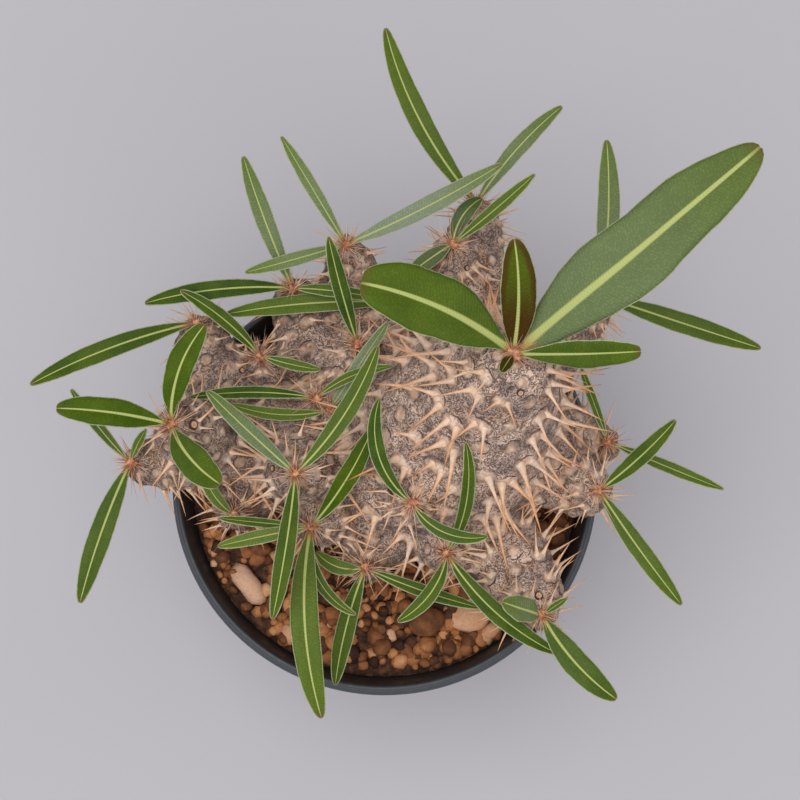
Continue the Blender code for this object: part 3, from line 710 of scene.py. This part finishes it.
def make_grit(settings):
    """The bed of fine grit, and all grains on it as one piece with a tone for each grain."""
    make_bed()
    ball = bmesh.new()
    bmesh.ops.create_icosphere(ball, subdivisions=2, radius=1.0)
    source = mesh_from("grain_source", ball)
    form = bmesh.new()
    tones = []
    for *grain, tone in find_grains(settings):
        append_form(form, stone_form(source, *grain))
        tones.append(tone)
    stones = make_piece("grit_grains", form, stone_material(), "grit")
    give_values(stones, "tone", np.repeat(tones, len(source.vertices)))
    bpy.data.meshes.remove(source)


# The plant's body and spines.

def head_place(head):
    return Vector((head.x, head.y, head.z)) * MM


def head_axis(head):
    """Which way a growing point faces: onward from its limb and upward."""
    before = Vector(LIMBS[head.limb][-1][:3]) * MM
    return ((head_place(head) - before).normalized() + Vector((0, 0, 1))).normalized()


def bud_radius(head):
    return TRUNK_BUD_RADIUS if head.limb == "trunk" else LIMB_BUD_RADIUS


def limb_rows():
    """Every limb as (point, radius) rows, each carried on to the base of the buds at its tip."""
    rows = [[(Vector(point[:3]) * MM, point[3] * MM) for point in row] for row in LIMBS.values()]
    for head in HEADS:
        end_radius = TRUNK_END_RADIUS if head.limb == "trunk" else LIMB_END_RADIUS
        tip = head_place(head) - head_axis(head) * (end_radius + BUD_PROUD * bud_radius(head))
        last = LIMBS[head.limb][-1]
        rows.append([(Vector(last[:3]) * MM, last[3] * MM), (tip, end_radius)])
    return rows


def along_limb(row, step):
    """(point, radius, axis) along a limb's centre line, from its tip down to its root, a step apart."""
    found = []
    row = row[::-1]
    for (first, first_radius), (second, second_radius) in zip(row, row[1:]):
        axis = (first - second).normalized()
        count = max(1, round((second - first).length / step))
        for number in range(count + 1):
            share = number / count
            radius = first_radius + (second_radius - first_radius) * share
            found.append((first.lerp(second, share), radius, axis))
    return found


def keep_outer_skin(mesh):
    """Leaves out the closed hollows inside a melted shape."""
    form = form_from(mesh)
    left = set(form.verts)
    skins = []
    while left:
        reached = [left.pop()]
        for corner in reached:
            fresh = [edge.other_vert(corner) for edge in corner.link_edges]
            fresh = [other for other in fresh if other in left]
            left.difference_update(fresh)
            reached.extend(fresh)
        skins.append(reached)
    skins.sort(key=len)
    for skin in skins[:-1]:
        bmesh.ops.delete(form, geom=skin, context="VERTS")
    form.to_mesh(mesh)
    form.free()


def melt_together(name, form, voxel, passes):
    """Overlapping closed shapes melted into one soft skin."""
    piece = make_piece(name, form, None)
    melt = piece.modifiers.new("Melt", "REMESH")
    melt.mode = "VOXEL"
    melt.voxel_size = voxel
    soften = piece.modifiers.new("Soften", "SMOOTH")
    soften.factor = 0.5
    soften.iterations = passes
    apply_modifiers(piece)
    keep_outer_skin(piece.data)
    piece.data.shade_smooth()
    return piece


def stoutness(radius):
    """0 on the thin limbs, 1 on the trunk."""
    return min(1.0, max(0.0, (radius / MM - THIN_RADIUS) / (STOUT_RADIUS - THIN_RADIUS)))


def find_tubercles(skin, settings):
    """Places for the tubercles: random points of the skin, kept where none stands too near."""
    samples = [sample for row in limb_rows() for sample in along_limb(row, LIMB_STEP)]
    centres = np.array([sample[0] for sample in samples])
    radii = np.array([sample[1] for sample in samples])
    corners = [point.co for point in skin.data.vertices]
    faces = list(skin.data.polygons)
    draw = random.Random(settings.seed)
    taken = np.full((settings.tries + 1, 3), np.inf)
    found = []
    for face in draw.choices(faces, weights=[face.area for face in faces], k=settings.tries):
        ring = [corners[index] for index in face.vertices]
        point = ring[0].lerp(ring[1], draw.random()).lerp(ring[2], draw.random())
        here = np.array(point)
        nearest = int(np.argmin(np.linalg.norm(centres - here, axis=1) - radii))
        stout = stoutness(radii[nearest])
        spacing = settings.spacing_thin + (settings.spacing_stout - settings.spacing_thin) * stout
        apart = np.linalg.norm(taken[:len(found) + 1] - here, axis=1)
        if point.z < SOIL_LEVEL or np.min(apart) < spacing:
            continue
        axis = samples[nearest][2]
        away = face.normal * axis.dot(face.normal) - axis
        taken[len(found)] = here
        found.append(Tubercle(point, face.normal.copy(), away.normalized(), stout))
    return found


def leaf_start(head, leaf):
    """The place beside its growing point where a leaf's midrib starts."""
    yaw = math.radians(leaf.heading - leaf.sweep / 2)
    return head_place(head) + Vector((math.cos(yaw), math.sin(yaw), 0.3)) * MM


def stands_clear(spine, middles, halves):
    """Whether a spine neither meets a leaf nor passes just over one."""
    for share in (0.25, 0.4, 0.55, 0.7, 0.85, 1.0):
        apart = np.array(spine.root + spine.direction * spine.length * share) - middles
        beside = np.hypot(apart[:, 0], apart[:, 1]) > halves + BESIDE_LEAF
        if not np.all(beside | (apart[:, 2] < -BELOW_LEAF) | (apart[:, 2] > ABOVE_LEAF)):
            return False
    return True


def find_spines(tubercles, skin, settings):
    """Two spines for most tubercles, side by side, leaning down the limb and clear of the leaves."""
    surface = search_tree(skin)
    shares = [number / 40 for number in range(4, 41)]
    blades = [(place, leaf.width * MM / 2) for head in HEADS for leaf in head.leaves
              for place, _, _ in midrib(leaf, leaf_start(head, leaf), shares)]
    middles = np.array([blade[0] for blade in blades])
    halves = np.array([blade[1] for blade in blades])
    draw = random.Random(settings.seed + 1)
    found = []
    for place in tubercles:
        if draw.random() > settings.spiny * (0.72 + 0.28 * place.stout):
            continue
        across = place.normal.cross(place.away)
        usual = settings.spine_thin + (settings.spine_stout - settings.spine_thin) * place.stout
        for side in (-1, 1):
            root = place.point + across * side * (0.7 + 0.8 * place.stout) * MM
            root, normal, _, _ = surface.find_nearest(root)
            if root.z < SOIL_LEVEL + 2 * MM:
                continue
            for shorter in (1, 0.9, 0.8, 0.7, 0.6):
                length = usual * draw.uniform(0.62, 1.2) * shorter
                lean = normal + place.away * draw.uniform(0.2, 0.8) + across * side * draw.uniform(0.12, 0.6)
                lean += Vector([draw.uniform(-0.16, 0.16) for _ in "xyz"])
                width = (0.32 + 0.26 * place.stout) * MM * draw.uniform(0.85, 1.15)
                spine = Spine(root, lean.normalized(), length, width, place.stout)
                if stands_clear(spine, middles, halves):
                    found.append(spine)
                    break
    return found


def pad_size(stout):
    """About half the width of a tubercle's mound."""
    return (1.5 + 0.6 * stout) * MM


def add_pads(whole, tubercles, spines):
    """A low mound for each tubercle, wider across than it is high, and a short cone under each spine."""
    for place in tubercles:
        form = bmesh.new()
        size = pad_size(place.stout)
        turn = Matrix((place.normal.cross(place.away), place.away, place.normal)).transposed().to_4x4()
        shape = turn @ Matrix.Diagonal((size * 1.3, size * 0.9, size * (0.72 - 0.24 * place.stout), 1))
        middle = place.point - place.normal * 0.1 * size
        bmesh.ops.create_icosphere(
            form, subdivisions=2, radius=1.0, matrix=Matrix.Translation(middle) @ shape)
        append_form(whole, form)
    for spine in spines:
        form = bmesh.new()
        swell = (0.95 + 0.6 * spine.stout) * MM
        middle = spine.root + spine.direction * swell * 0.4
        bmesh.ops.create_cone(
            form, cap_ends=True, segments=12, radius1=swell, radius2=swell * 0.3, depth=swell * 2.2,
            matrix=Matrix.Translation(middle) @ turn_to(spine.direction))
        append_form(whole, form)


def limb_form():
    """Overlapping balls along the centre lines of all limbs."""
    limbs = bmesh.new()
    for row in limb_rows():
        for centre, radius, _ in along_limb(row, LIMB_STEP):
            ball = bmesh.new()
            bmesh.ops.create_icosphere(
                ball, subdivisions=3, radius=radius, matrix=Matrix.Translation(centre))
            append_form(limbs, ball)
    return limbs


def roughen(body):
    """Small swells over the bark, with a value for how far each dip between them sinks, which the bark's
    material turns into painted shade.
    """
    raised, hollows = [], []
    for point, normal in zip(body.data.vertices, body.data.vertex_normals):
        swell = noise.noise(point.co / (3.2 * MM)) * 0.3 + noise.noise(point.co / (1.3 * MM)) * 0.12
        raised.append(point.co + normal.vector * swell * MM)
        # How far the bark dips here. The material darkens it as painted shade.
        hollows.append(smooth_step(-swell, 0.04, 0.26))
    body.data.vertices.foreach_set("co", np.array(raised).ravel())
    give_values(body, "hollow_shade", hollows)


def mark_pads(body, tubercles, spines):
    """Values for how near the bark is to the middle of a pad, and for how thin its limb is."""
    marks = [(place.point, place.stout) for place in tubercles]
    marks += [(spine.root + spine.direction * (0.4 + step * 1.1) * MM, spine.stout)
              for spine in spines for step in range(3)]
    tree = KDTree(len(marks))
    for number, (point, _) in enumerate(marks):
        tree.insert(point, number)
    tree.balance()
    pads, thins = [], []
    for point in body.data.vertices:
        _, number, distance = tree.find(point.co)
        stout = marks[number][1]
        reach = pad_size(stout)
        pads.append(1 - smooth_step(distance, 0.3 * reach, 1.35 * reach))
        thins.append(1 - stout)
    give_values(body, "pad", pads)
    give_values(body, "thin", thins)


def make_body(settings):
    """The grown body, melted from limbs and pads, and the spines, cracks and scars on it."""
    skin = melt_together("limb_skin", limb_form(), LIMB_VOXEL, passes=8)
    tubercles = find_tubercles(skin, settings)
    spines = find_spines(tubercles, skin, settings)
    form = form_from(skin.data)
    bpy.data.objects.remove(skin, do_unlink=True)
    add_pads(form, tubercles, spines)
    body = melt_together("plant_bark", form, settings.voxel, passes=3)
    body.data.materials.append(bark_material(settings))
    roughen(body)
    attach(body, "root")
    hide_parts("plant_body")
    mark_pads(body, tubercles, spines)
    surface = search_tree(body)
    draw = random.Random(settings.seed + 2)
    make_spines(spines, settings, draw)
    make_cracks(tubercles, surface, draw)
    make_scars(surface, draw)


def spine_radius(spine, share):
    """A spine's radius at a share of its length, from a flared root to a fine tip."""
    flare = (0.55 + 0.35 * spine.stout) * MM * max(0.0, 1 - share / 0.34) ** 2
    return spine.width * ((1 - share) ** 0.85 + 0.07) + flare


def make_spines(spines, settings, draw):
    """All spines as one piece, with values for the place along each and for its tone."""
    source = rod_mesh("spine_source", sides=6, cuts=6)
    form = bmesh.new()
    for spine in spines:
        append_form(form, rod_form(
            source, spine.root, spine.direction, spine.length, partial(spine_radius, spine), draw,
            sway=0.035, sag=0.03, crowd=SPINE_CROWD))
    piece = make_piece("spines", form, spine_material(settings), "bark")
    along = [(point.co.z + 0.5) ** SPINE_CROWD for point in source.vertices]
    give_values(piece, "along", np.outer([0.7 + 0.3 * spine.stout for spine in spines], along).ravel())
    give_values(piece, "tone", np.repeat([draw.random() for _ in spines], len(source.vertices)))
    bpy.data.meshes.remove(source)


def make_cracks(tubercles, surface, draw):
    """Fine dark curved cracks in the bark just above some pads."""
    whole = bmesh.new()
    for place in tubercles:
        if place.stout < 0.25 or draw.random() < 0.5:
            continue
        across = place.normal.cross(place.away)
        reach = pad_size(place.stout) * draw.uniform(1.0, 1.3)
        spread = draw.uniform(30, 62)
        strip = bmesh.new()
        bmesh.ops.create_grid(strip, x_segments=9, y_segments=1, size=0.5)
        for corner in strip.verts:
            turn = math.radians(2 * corner.co.x * spread)
            share = 1 - (2 * corner.co.x) ** 2
            wide = reach + corner.co.y * 0.3 * MM * (0.25 + share)
            wide += 0.12 * MM * math.sin(9 * corner.co.x + reach * 9000)
            spot = place.point - place.away * wide * math.cos(turn) + across * wide * 1.25 * math.sin(turn)
            spot, normal, _, _ = surface.find_nearest(spot)
            corner.co = spot + normal * 0.02 * MM
        append_form(whole, strip)
    cracks = make_piece("bark_cracks", whole, crack_material(), "bark")
    thicken(cracks, 0.1 * MM)


def make_scars(surface, draw):
    """Round scars where old leaves fell: four that the photo shows, and a few more near other tips."""
    places = list(SCARS)
    for head in HEADS:
        turn = math.radians(draw.uniform(0, 360))
        reach = bud_radius(head) / MM + draw.uniform(2.6, 5)
        if draw.random() < 0.5:
            x, y = head.x + math.cos(turn) * reach, head.y + math.sin(turn) * reach
            places.append((x, y, head.z - reach * 0.7, draw.uniform(0.7, 1.0)))
    whole = bmesh.new()
    rings = []
    for x, y, z, size in places:
        spot, normal, _, _ = surface.find_nearest(Vector((x, y, z)) * MM)
        size *= MM
        form = bmesh.new()
        bmesh.ops.create_cone(
            form, cap_ends=True, segments=16, radius1=size * 1.3, radius2=size, depth=0.8 * MM,
            matrix=Matrix.Translation(spot) @ turn_to(normal))
        top = max(form.faces, key=lambda face: face.calc_center_median().dot(normal))
        for inward, down in ((0.2, 0.05), (0.2, -0.25), (0.25, 0.1)):
            bmesh.ops.inset_region(form, faces=[top], thickness=size * inward, depth=down * MM)
        for corner in form.verts:
            offset = corner.co - spot
            rings.append(1 - min(1.0, (offset - normal * offset.dot(normal)).length / size))
        append_form(whole, form)
    scars = make_piece("leaf_scars", whole, scar_material(), "bark")
    give_values(scars, "ring", rings)


# Leaves and growing points.

def way_along(leaf, share):
    """Which way a leaf runs at a share of its length, and its level sideways direction there."""
    yaw = math.radians(leaf.heading + leaf.sweep * (share - 0.5))
    pitch = math.radians(leaf.lift - leaf.droop * share)
    forward = Vector((math.cos(pitch) * math.cos(yaw), math.cos(pitch) * math.sin(yaw), math.sin(pitch)))
    return forward, Vector((-math.sin(yaw), math.cos(yaw), 0))


def midrib(leaf, start, shares):
    """(point, side, up) at each share of a leaf, which droops and sweeps evenly from base to tip."""
    frames = []
    point = start.copy()
    for share, after in zip(shares, shares[1:] + [1.0]):
        forward, side = way_along(leaf, share)
        side = Matrix.Rotation(math.radians(leaf.roll), 3, forward) @ side
        frames.append((point.copy(), side, forward.cross(side)))
        point += way_along(leaf, (share + after) / 2)[0] * (leaf.length * MM * (after - share))
    return frames


def outline(share, peak, base, tip):
    """How wide a blade is at a share of its length, against its widest place."""
    rise = max(0.0, math.sin(math.pi * share ** peak))
    stalk = 0.2 - 0.06 * share if share < 0.5 else 0.06
    return max(stalk, rise ** (base + (tip - base) * share))


def blade_form(leaf, start, draw):
    """One blade, and the LEAF_VALUES of each of its corners."""
    dark, frost_and_sheen, maroon, wavy, peak, base, tip = LOOKS[leaf.look]
    form = bmesh.new()
    bmesh.ops.create_grid(form, x_segments=LEAF_ROWS, y_segments=LEAF_COLUMNS, size=0.5)
    shares = [1 - (1 - number / LEAF_ROWS) ** 1.45 for number in range(LEAF_ROWS + 1)]
    frames = midrib(leaf, start, shares)
    shift = draw.uniform(0, 6.28)
    dark = min(1.0, max(0.0, dark + draw.uniform(-0.18, 0.18)))
    values = []
    for corner in form.verts:
        number = round((corner.co.x + 0.5) * LEAF_ROWS)
        share = shares[number]
        point, side, up = frames[number]
        off = 2 * corner.co.y
        wobble = math.sin(share * 39 + shift * 2 + (2.3 if off > 0 else 0)) * math.sin(share * 17 + shift)
        wide = leaf.width * outline(share, peak, base, tip) * (1 + 0.02 * wobble * (1 - share ** 8))
        across = off * wide / 2
        wave = math.sin(share * 14 + shift + (1.9 if off > 0 else 0)) * 0.05 * wavy
        wave *= leaf.width * (1 - share ** 6)
        ruffle = math.sin(share * 31 + shift) * 0.06
        fold = abs(across) * math.tan(LEAF_FOLD) * (1 - 0.75 * off ** 4)
        lift = fold + (wave + ruffle) * off * off
        half_rib = (0.04 + 0.068 * leaf.width) * (1 - 0.64 * share)
        slant = share * leaf.length - abs(across) * 0.5
        values.append((abs(across) / half_rib, slant, wide / 2 - abs(across), share, dark, frost_and_sheen, maroon))
        corner.co = point + side * (across + wave * off) * MM + up * lift * MM
    return form, values


def make_rosettes(settings):
    """The leaves of each growing point, as one piece for each."""
    draw = random.Random(settings.seed)
    material = leaf_material(settings)
    for number, head in enumerate(HEADS, 1):
        whole = bmesh.new()
        values = []
        for leaf in head.leaves:
            form, found = blade_form(leaf, leaf_start(head, leaf), draw)
            append_form(whole, form)
            values += found
        leaves = make_piece(f"leaves_{number:02d}", whole, material, "leaf")
        for name, column in zip(LEAF_VALUES, zip(*values)):
            give_values(leaves, name, column)
        thicken(leaves, settings.thickness)
        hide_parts(f"rosette_{number:02d}")


def bud_form(head):
    """One small lumpy bud."""
    bud = bmesh.new()
    bmesh.ops.create_icosphere(bud, subdivisions=3, radius=1.0)
    for corner in bud.verts:
        lumps = noise.noise(corner.co * 2.3 + head_place(head) * 90)
        corner.co *= bud_radius(head) * BUD_SHARE * (1 + 0.35 * lumps)
    axis = head_axis(head)
    place = Matrix.Translation(head_place(head) - axis * 0.5 * MM)
    bmesh.ops.transform(bud, matrix=place @ turn_to(axis), verts=bud.verts)
    return bud


def bristle_radius(thick, share):
    return thick * (1.05 - share)


def make_crowns(settings):
    """The small woolly bud at each growing point, and the dry bristles that stand round it."""
    draw = random.Random(settings.seed + 3)
    buds = bmesh.new()
    hairs = bmesh.new()
    tones = []
    source = rod_mesh("bristle_source", sides=3, cuts=2)
    for head in HEADS:
        append_form(buds, bud_form(head))
        axis = head_axis(head)
        turn = turn_to(axis).to_3x3()
        radius = bud_radius(head) * BUD_SHARE
        for number in range(settings.bristles):
            around = number * GOLDEN_ANGLE + draw.uniform(-0.3, 0.3)
            tilt = math.radians(draw.uniform(20, 104))
            direction = turn @ Vector((
                math.sin(tilt) * math.cos(around), math.sin(tilt) * math.sin(around), math.cos(tilt)))
            length = settings.bristle_length * draw.uniform(0.35, 1.0) * (1.6 if draw.random() < 0.16 else 1)
            root = head_place(head) - axis * draw.uniform(0.4, 2.6) * MM + direction * radius * 0.6
            thickness = partial(bristle_radius, draw.uniform(0.1, 0.22) * MM)
            append_form(hairs, rod_form(
                source, root, direction.normalized(), length, thickness, draw, sway=0.14))
            tones.append(draw.random())
    make_piece("crown_buds", buds, bud_material(), "leaf")
    bristles = make_piece("crown_bristles", hairs, bristle_material(), "bark")
    give_values(bristles, "tone", np.repeat(tones, len(source.vertices)))
    bpy.data.meshes.remove(source)


# The studio.

def add_softbox(name, place, target, size, power):
    """A round soft light, with its size in metres and its power in watts."""
    light = bpy.data.lights.new(name, "AREA")
    light.shape = "DISK"
    light.size = size
    light.energy = power
    lamp = bpy.data.objects.new(name, light)
    lamp.location = place
    lamp.rotation_euler = (Vector(place) - Vector(target)).to_track_quat("Z", "Y").to_euler()
    bpy.context.scene.collection.objects.link(lamp)


def make_stage(settings):
    """The floor, the light from all round, two softboxes and the camera, which stands as the photo's did."""
    scene = bpy.context.scene
    form = bmesh.new()
    bmesh.ops.create_grid(form, x_segments=8, y_segments=8, size=4.0)
    floor = make_piece("studio_floor", form, floor_material(settings))
    scene.world = bpy.data.worlds.new("studio")
    scene.world.use_nodes = True
    background = scene.world.node_tree.nodes["Background"].inputs
    background["Color"].default_value = (*linear(214, 212, 216), 1.0)
    background["Strength"].default_value = settings.surround
    middle = (0, 0, 0.1)
    add_softbox("window", (-0.3, -0.15, 1.7), middle, 1.4, settings.key_power)
    add_softbox("fill", (0.3, -0.9, 1.5), middle, 1.8, settings.key_power * 0.35)
    camera = bpy.data.cameras.new("photo_camera")
    camera.lens = 50
    camera.sensor_width = 24
    eye = bpy.data.objects.new("photo_camera", camera)
    lift = math.radians(settings.elevation)
    back = Vector((0, -math.cos(lift), math.sin(lift)))
    eye.location = CAMERA_TARGET + back * settings.distance
    eye.rotation_euler = back.to_track_quat("Z", "Y").to_euler()
    scene.collection.objects.link(eye)
    scene.camera = eye
    scene.view_settings.view_transform = "Standard"


# Settings that a user may change.

class PotSettings(bpy.types.PropertyGroup):
    """Sizes and colours of the pot"""

    steps: IntProperty(name="Steps", description="Faces round the pot", default=128, min=16)
    drains: IntProperty(name="Drain holes", description="Holes through the floor", default=6, min=1)
    drain_ring: FloatProperty(
        name="Drain ring", description="Radius of the ring of drain holes", default=0.025, unit="LENGTH")
    drain_radius: FloatProperty(
        name="Drain radius", description="Radius of a drain hole", default=0.0035, unit="LENGTH")
    wall_colour: FloatVectorProperty(
        name="Wall colour", description="Colour of the pot's wall", subtype="COLOR",
        default=linear(37, 38, 40))
    # The lip colour is a painted reflection on the lip's rounded top, not a different plastic.
    lip_sheen_colour: FloatVectorProperty(
        name="Lip colour", description="Colour of the lip", subtype="COLOR", default=linear(57, 62, 67))


class GritSettings(bpy.types.PropertyGroup):
    """Sizes and number of the grains"""

    grains: IntProperty(name="Grains", description="Grains on the surface", default=1500, min=1)
    grain_small: FloatProperty(
        name="Smallest grain", description="Radius of the smallest grain", default=0.0012, unit="LENGTH")
    grain_large: FloatProperty(
        name="Largest grain", description="Radius of the largest grain", default=0.003, unit="LENGTH")
    seed: IntProperty(name="Seed", description="Seed of the grains' places", default=7)


class BodySettings(bpy.types.PropertyGroup):
    """Sizes and colours of the trunk, limbs and spines"""

    voxel: FloatProperty(
        name="Fineness", description="Size of the skin's cells", default=0.0008, unit="LENGTH")
    spacing_thin: FloatProperty(
        name="Spacing on limbs", description="Distance between tubercles on thin limbs",
        default=0.0039, unit="LENGTH")
    spacing_stout: FloatProperty(
        name="Spacing on trunk", description="Distance between tubercles on the trunk",
        default=0.0071, unit="LENGTH")
    spiny: FloatProperty(
        name="Spiny share", description="Share of tubercles that carry spines", default=0.88)
    spine_thin: FloatProperty(
        name="Spines on limbs", description="Length of the spines on thin limbs",
        default=0.007, unit="LENGTH")
    spine_stout: FloatProperty(
        name="Spines on trunk", description="Length of the spines on the trunk",
        default=0.0155, unit="LENGTH")
    tries: IntProperty(name="Tries", description="Points tried for tubercles", default=20000)
    seed: IntProperty(name="Seed", description="Seed of the spines' places", default=5)
    bark_colour: FloatVectorProperty(
        name="Bark colour", description="Tint of the bark", subtype="COLOR", default=linear(244, 234, 226))
    pad_colour: FloatVectorProperty(
        name="Pad colour", description="Colour of the pads under the spines", subtype="COLOR",
        default=linear(222, 194, 170))


class LeafSettings(bpy.types.PropertyGroup):
    """Sizes and colours of the leaves and the bristles round them"""

    thickness: FloatProperty(
        name="Thickness", description="Thickness of a blade", default=0.0006, unit="LENGTH")
    blade_colour: FloatVectorProperty(
        name="Blade colour", description="Colour of the darkest blades", subtype="COLOR",
        default=linear(44, 68, 0))
    midrib_colour: FloatVectorProperty(
        name="Midrib colour", description="Colour of the midrib", subtype="COLOR",
        default=linear(176, 184, 112))
    margin_colour: FloatVectorProperty(
        name="Margin colour", description="Colour of the blade's edge", subtype="COLOR",
        default=linear(196, 202, 160))
    bristles: IntProperty(name="Bristles", description="Bristles round a growing point", default=84)
    bristle_length: FloatProperty(
        name="Bristle length", description="Length of the longer bristles", default=0.0066, unit="LENGTH")
    seed: IntProperty(name="Seed", description="Seed of the small differences", default=3)


class StageSettings(bpy.types.PropertyGroup):
    """The camera, the lights and the floor"""

    elevation: FloatProperty(
        name="Camera height", description="Camera's angle above the horizon in degrees", default=80.0)
    distance: FloatProperty(
        name="Camera distance", description="Camera's distance from the plant", default=0.471, unit="LENGTH")
    key_power: FloatProperty(name="Light", description="Power of the main softbox in watts", default=17.5)
    surround: FloatProperty(
        name="Surround", description="Strength of the light from all round", default=0.84)
    floor_colour: FloatVectorProperty(
        name="Floor colour", description="Colour of the floor", subtype="COLOR",
        default=linear(178, 176, 180))


class MakePot(bpy.types.Operator):
    """Makes the round black pot with its rolled lip and drain holes"""

    bl_idname = "pachypodium.make_pot"
    bl_label = "Make Pot"

    def execute(self, context):
        make_pot(context.scene.pachypodium_pot)
        return {"FINISHED"}


class MakeGrit(bpy.types.Operator):
    """Makes the bed of fine grit and the grains and pebbles on it"""

    bl_idname = "pachypodium.make_grit"
    bl_label = "Make Grit"

    def execute(self, context):
        make_grit(context.scene.pachypodium_grit)
        return {"FINISHED"}


class MakeBody(bpy.types.Operator):
    """Makes the trunk and limbs with their pads, spines, cracks and leaf scars"""

    bl_idname = "pachypodium.make_body"
    bl_label = "Make Body"

    def execute(self, context):
        make_body(context.scene.pachypodium_body)
        return {"FINISHED"}


class MakeRosettes(bpy.types.Operator):
    """Makes the leaves of each growing point"""

    bl_idname = "pachypodium.make_rosettes"
    bl_label = "Make Rosettes"

    def execute(self, context):
        make_rosettes(context.scene.pachypodium_leaf)
        return {"FINISHED"}


class MakeCrowns(bpy.types.Operator):
    """Makes the bud and the dry bristles of each growing point"""

    bl_idname = "pachypodium.make_crowns"
    bl_label = "Make Crowns"

    def execute(self, context):
        make_crowns(context.scene.pachypodium_leaf)
        return {"FINISHED"}


class MakeStage(bpy.types.Operator):
    """Makes the floor, the soft lights and the camera"""

    bl_idname = "pachypodium.make_stage"
    bl_label = "Make Stage"

    def execute(self, context):
        make_stage(context.scene.pachypodium_stage)
        return {"FINISHED"}


SETTINGS = {
    "pachypodium_pot": PotSettings,
    "pachypodium_grit": GritSettings,
    "pachypodium_body": BodySettings,
    "pachypodium_leaf": LeafSettings,
    "pachypodium_stage": StageSettings,
}
OPERATORS = [MakePot, MakeGrit, MakeBody, MakeRosettes, MakeCrowns, MakeStage]


class PachypodiumPanel(bpy.types.Panel):
    """Settings and steps of the potted pachypodium"""

    bl_label = "Potted Pachypodium"
    bl_idname = "VIEW3D_PT_pachypodium"
    bl_space_type = "VIEW_3D"
    bl_region_type = "UI"
    bl_category = "Pachypodium"

    def draw(self, context):
        for name, kind in SETTINGS.items():
            box = self.layout.box()
            box.label(text=kind.__name__)
            for field in kind.__annotations__:
                box.prop(getattr(context.scene, name), field)
        for operator in OPERATORS:
            self.layout.operator(operator.bl_idname)


def register():
    for kind in [*SETTINGS.values(), *OPERATORS, PachypodiumPanel]:
        bpy.utils.register_class(kind)
    for name, kind in SETTINGS.items():
        setattr(bpy.types.Scene, name, PointerProperty(type=kind))


def unregister():
    for name in SETTINGS:
        delattr(bpy.types.Scene, name)
    for kind in [PachypodiumPanel, *reversed(OPERATORS), *reversed(SETTINGS.values())]:
        bpy.utils.unregister_class(kind)


def main():
    register()
    bpy.ops.pachypodium.make_pot()
    bpy.ops.pachypodium.make_grit()
    bpy.ops.pachypodium.make_body()
    bpy.ops.pachypodium.make_rosettes()
    bpy.ops.pachypodium.make_crowns()
    bpy.ops.pachypodium.make_stage()


if __name__ == "__main__":
    main()
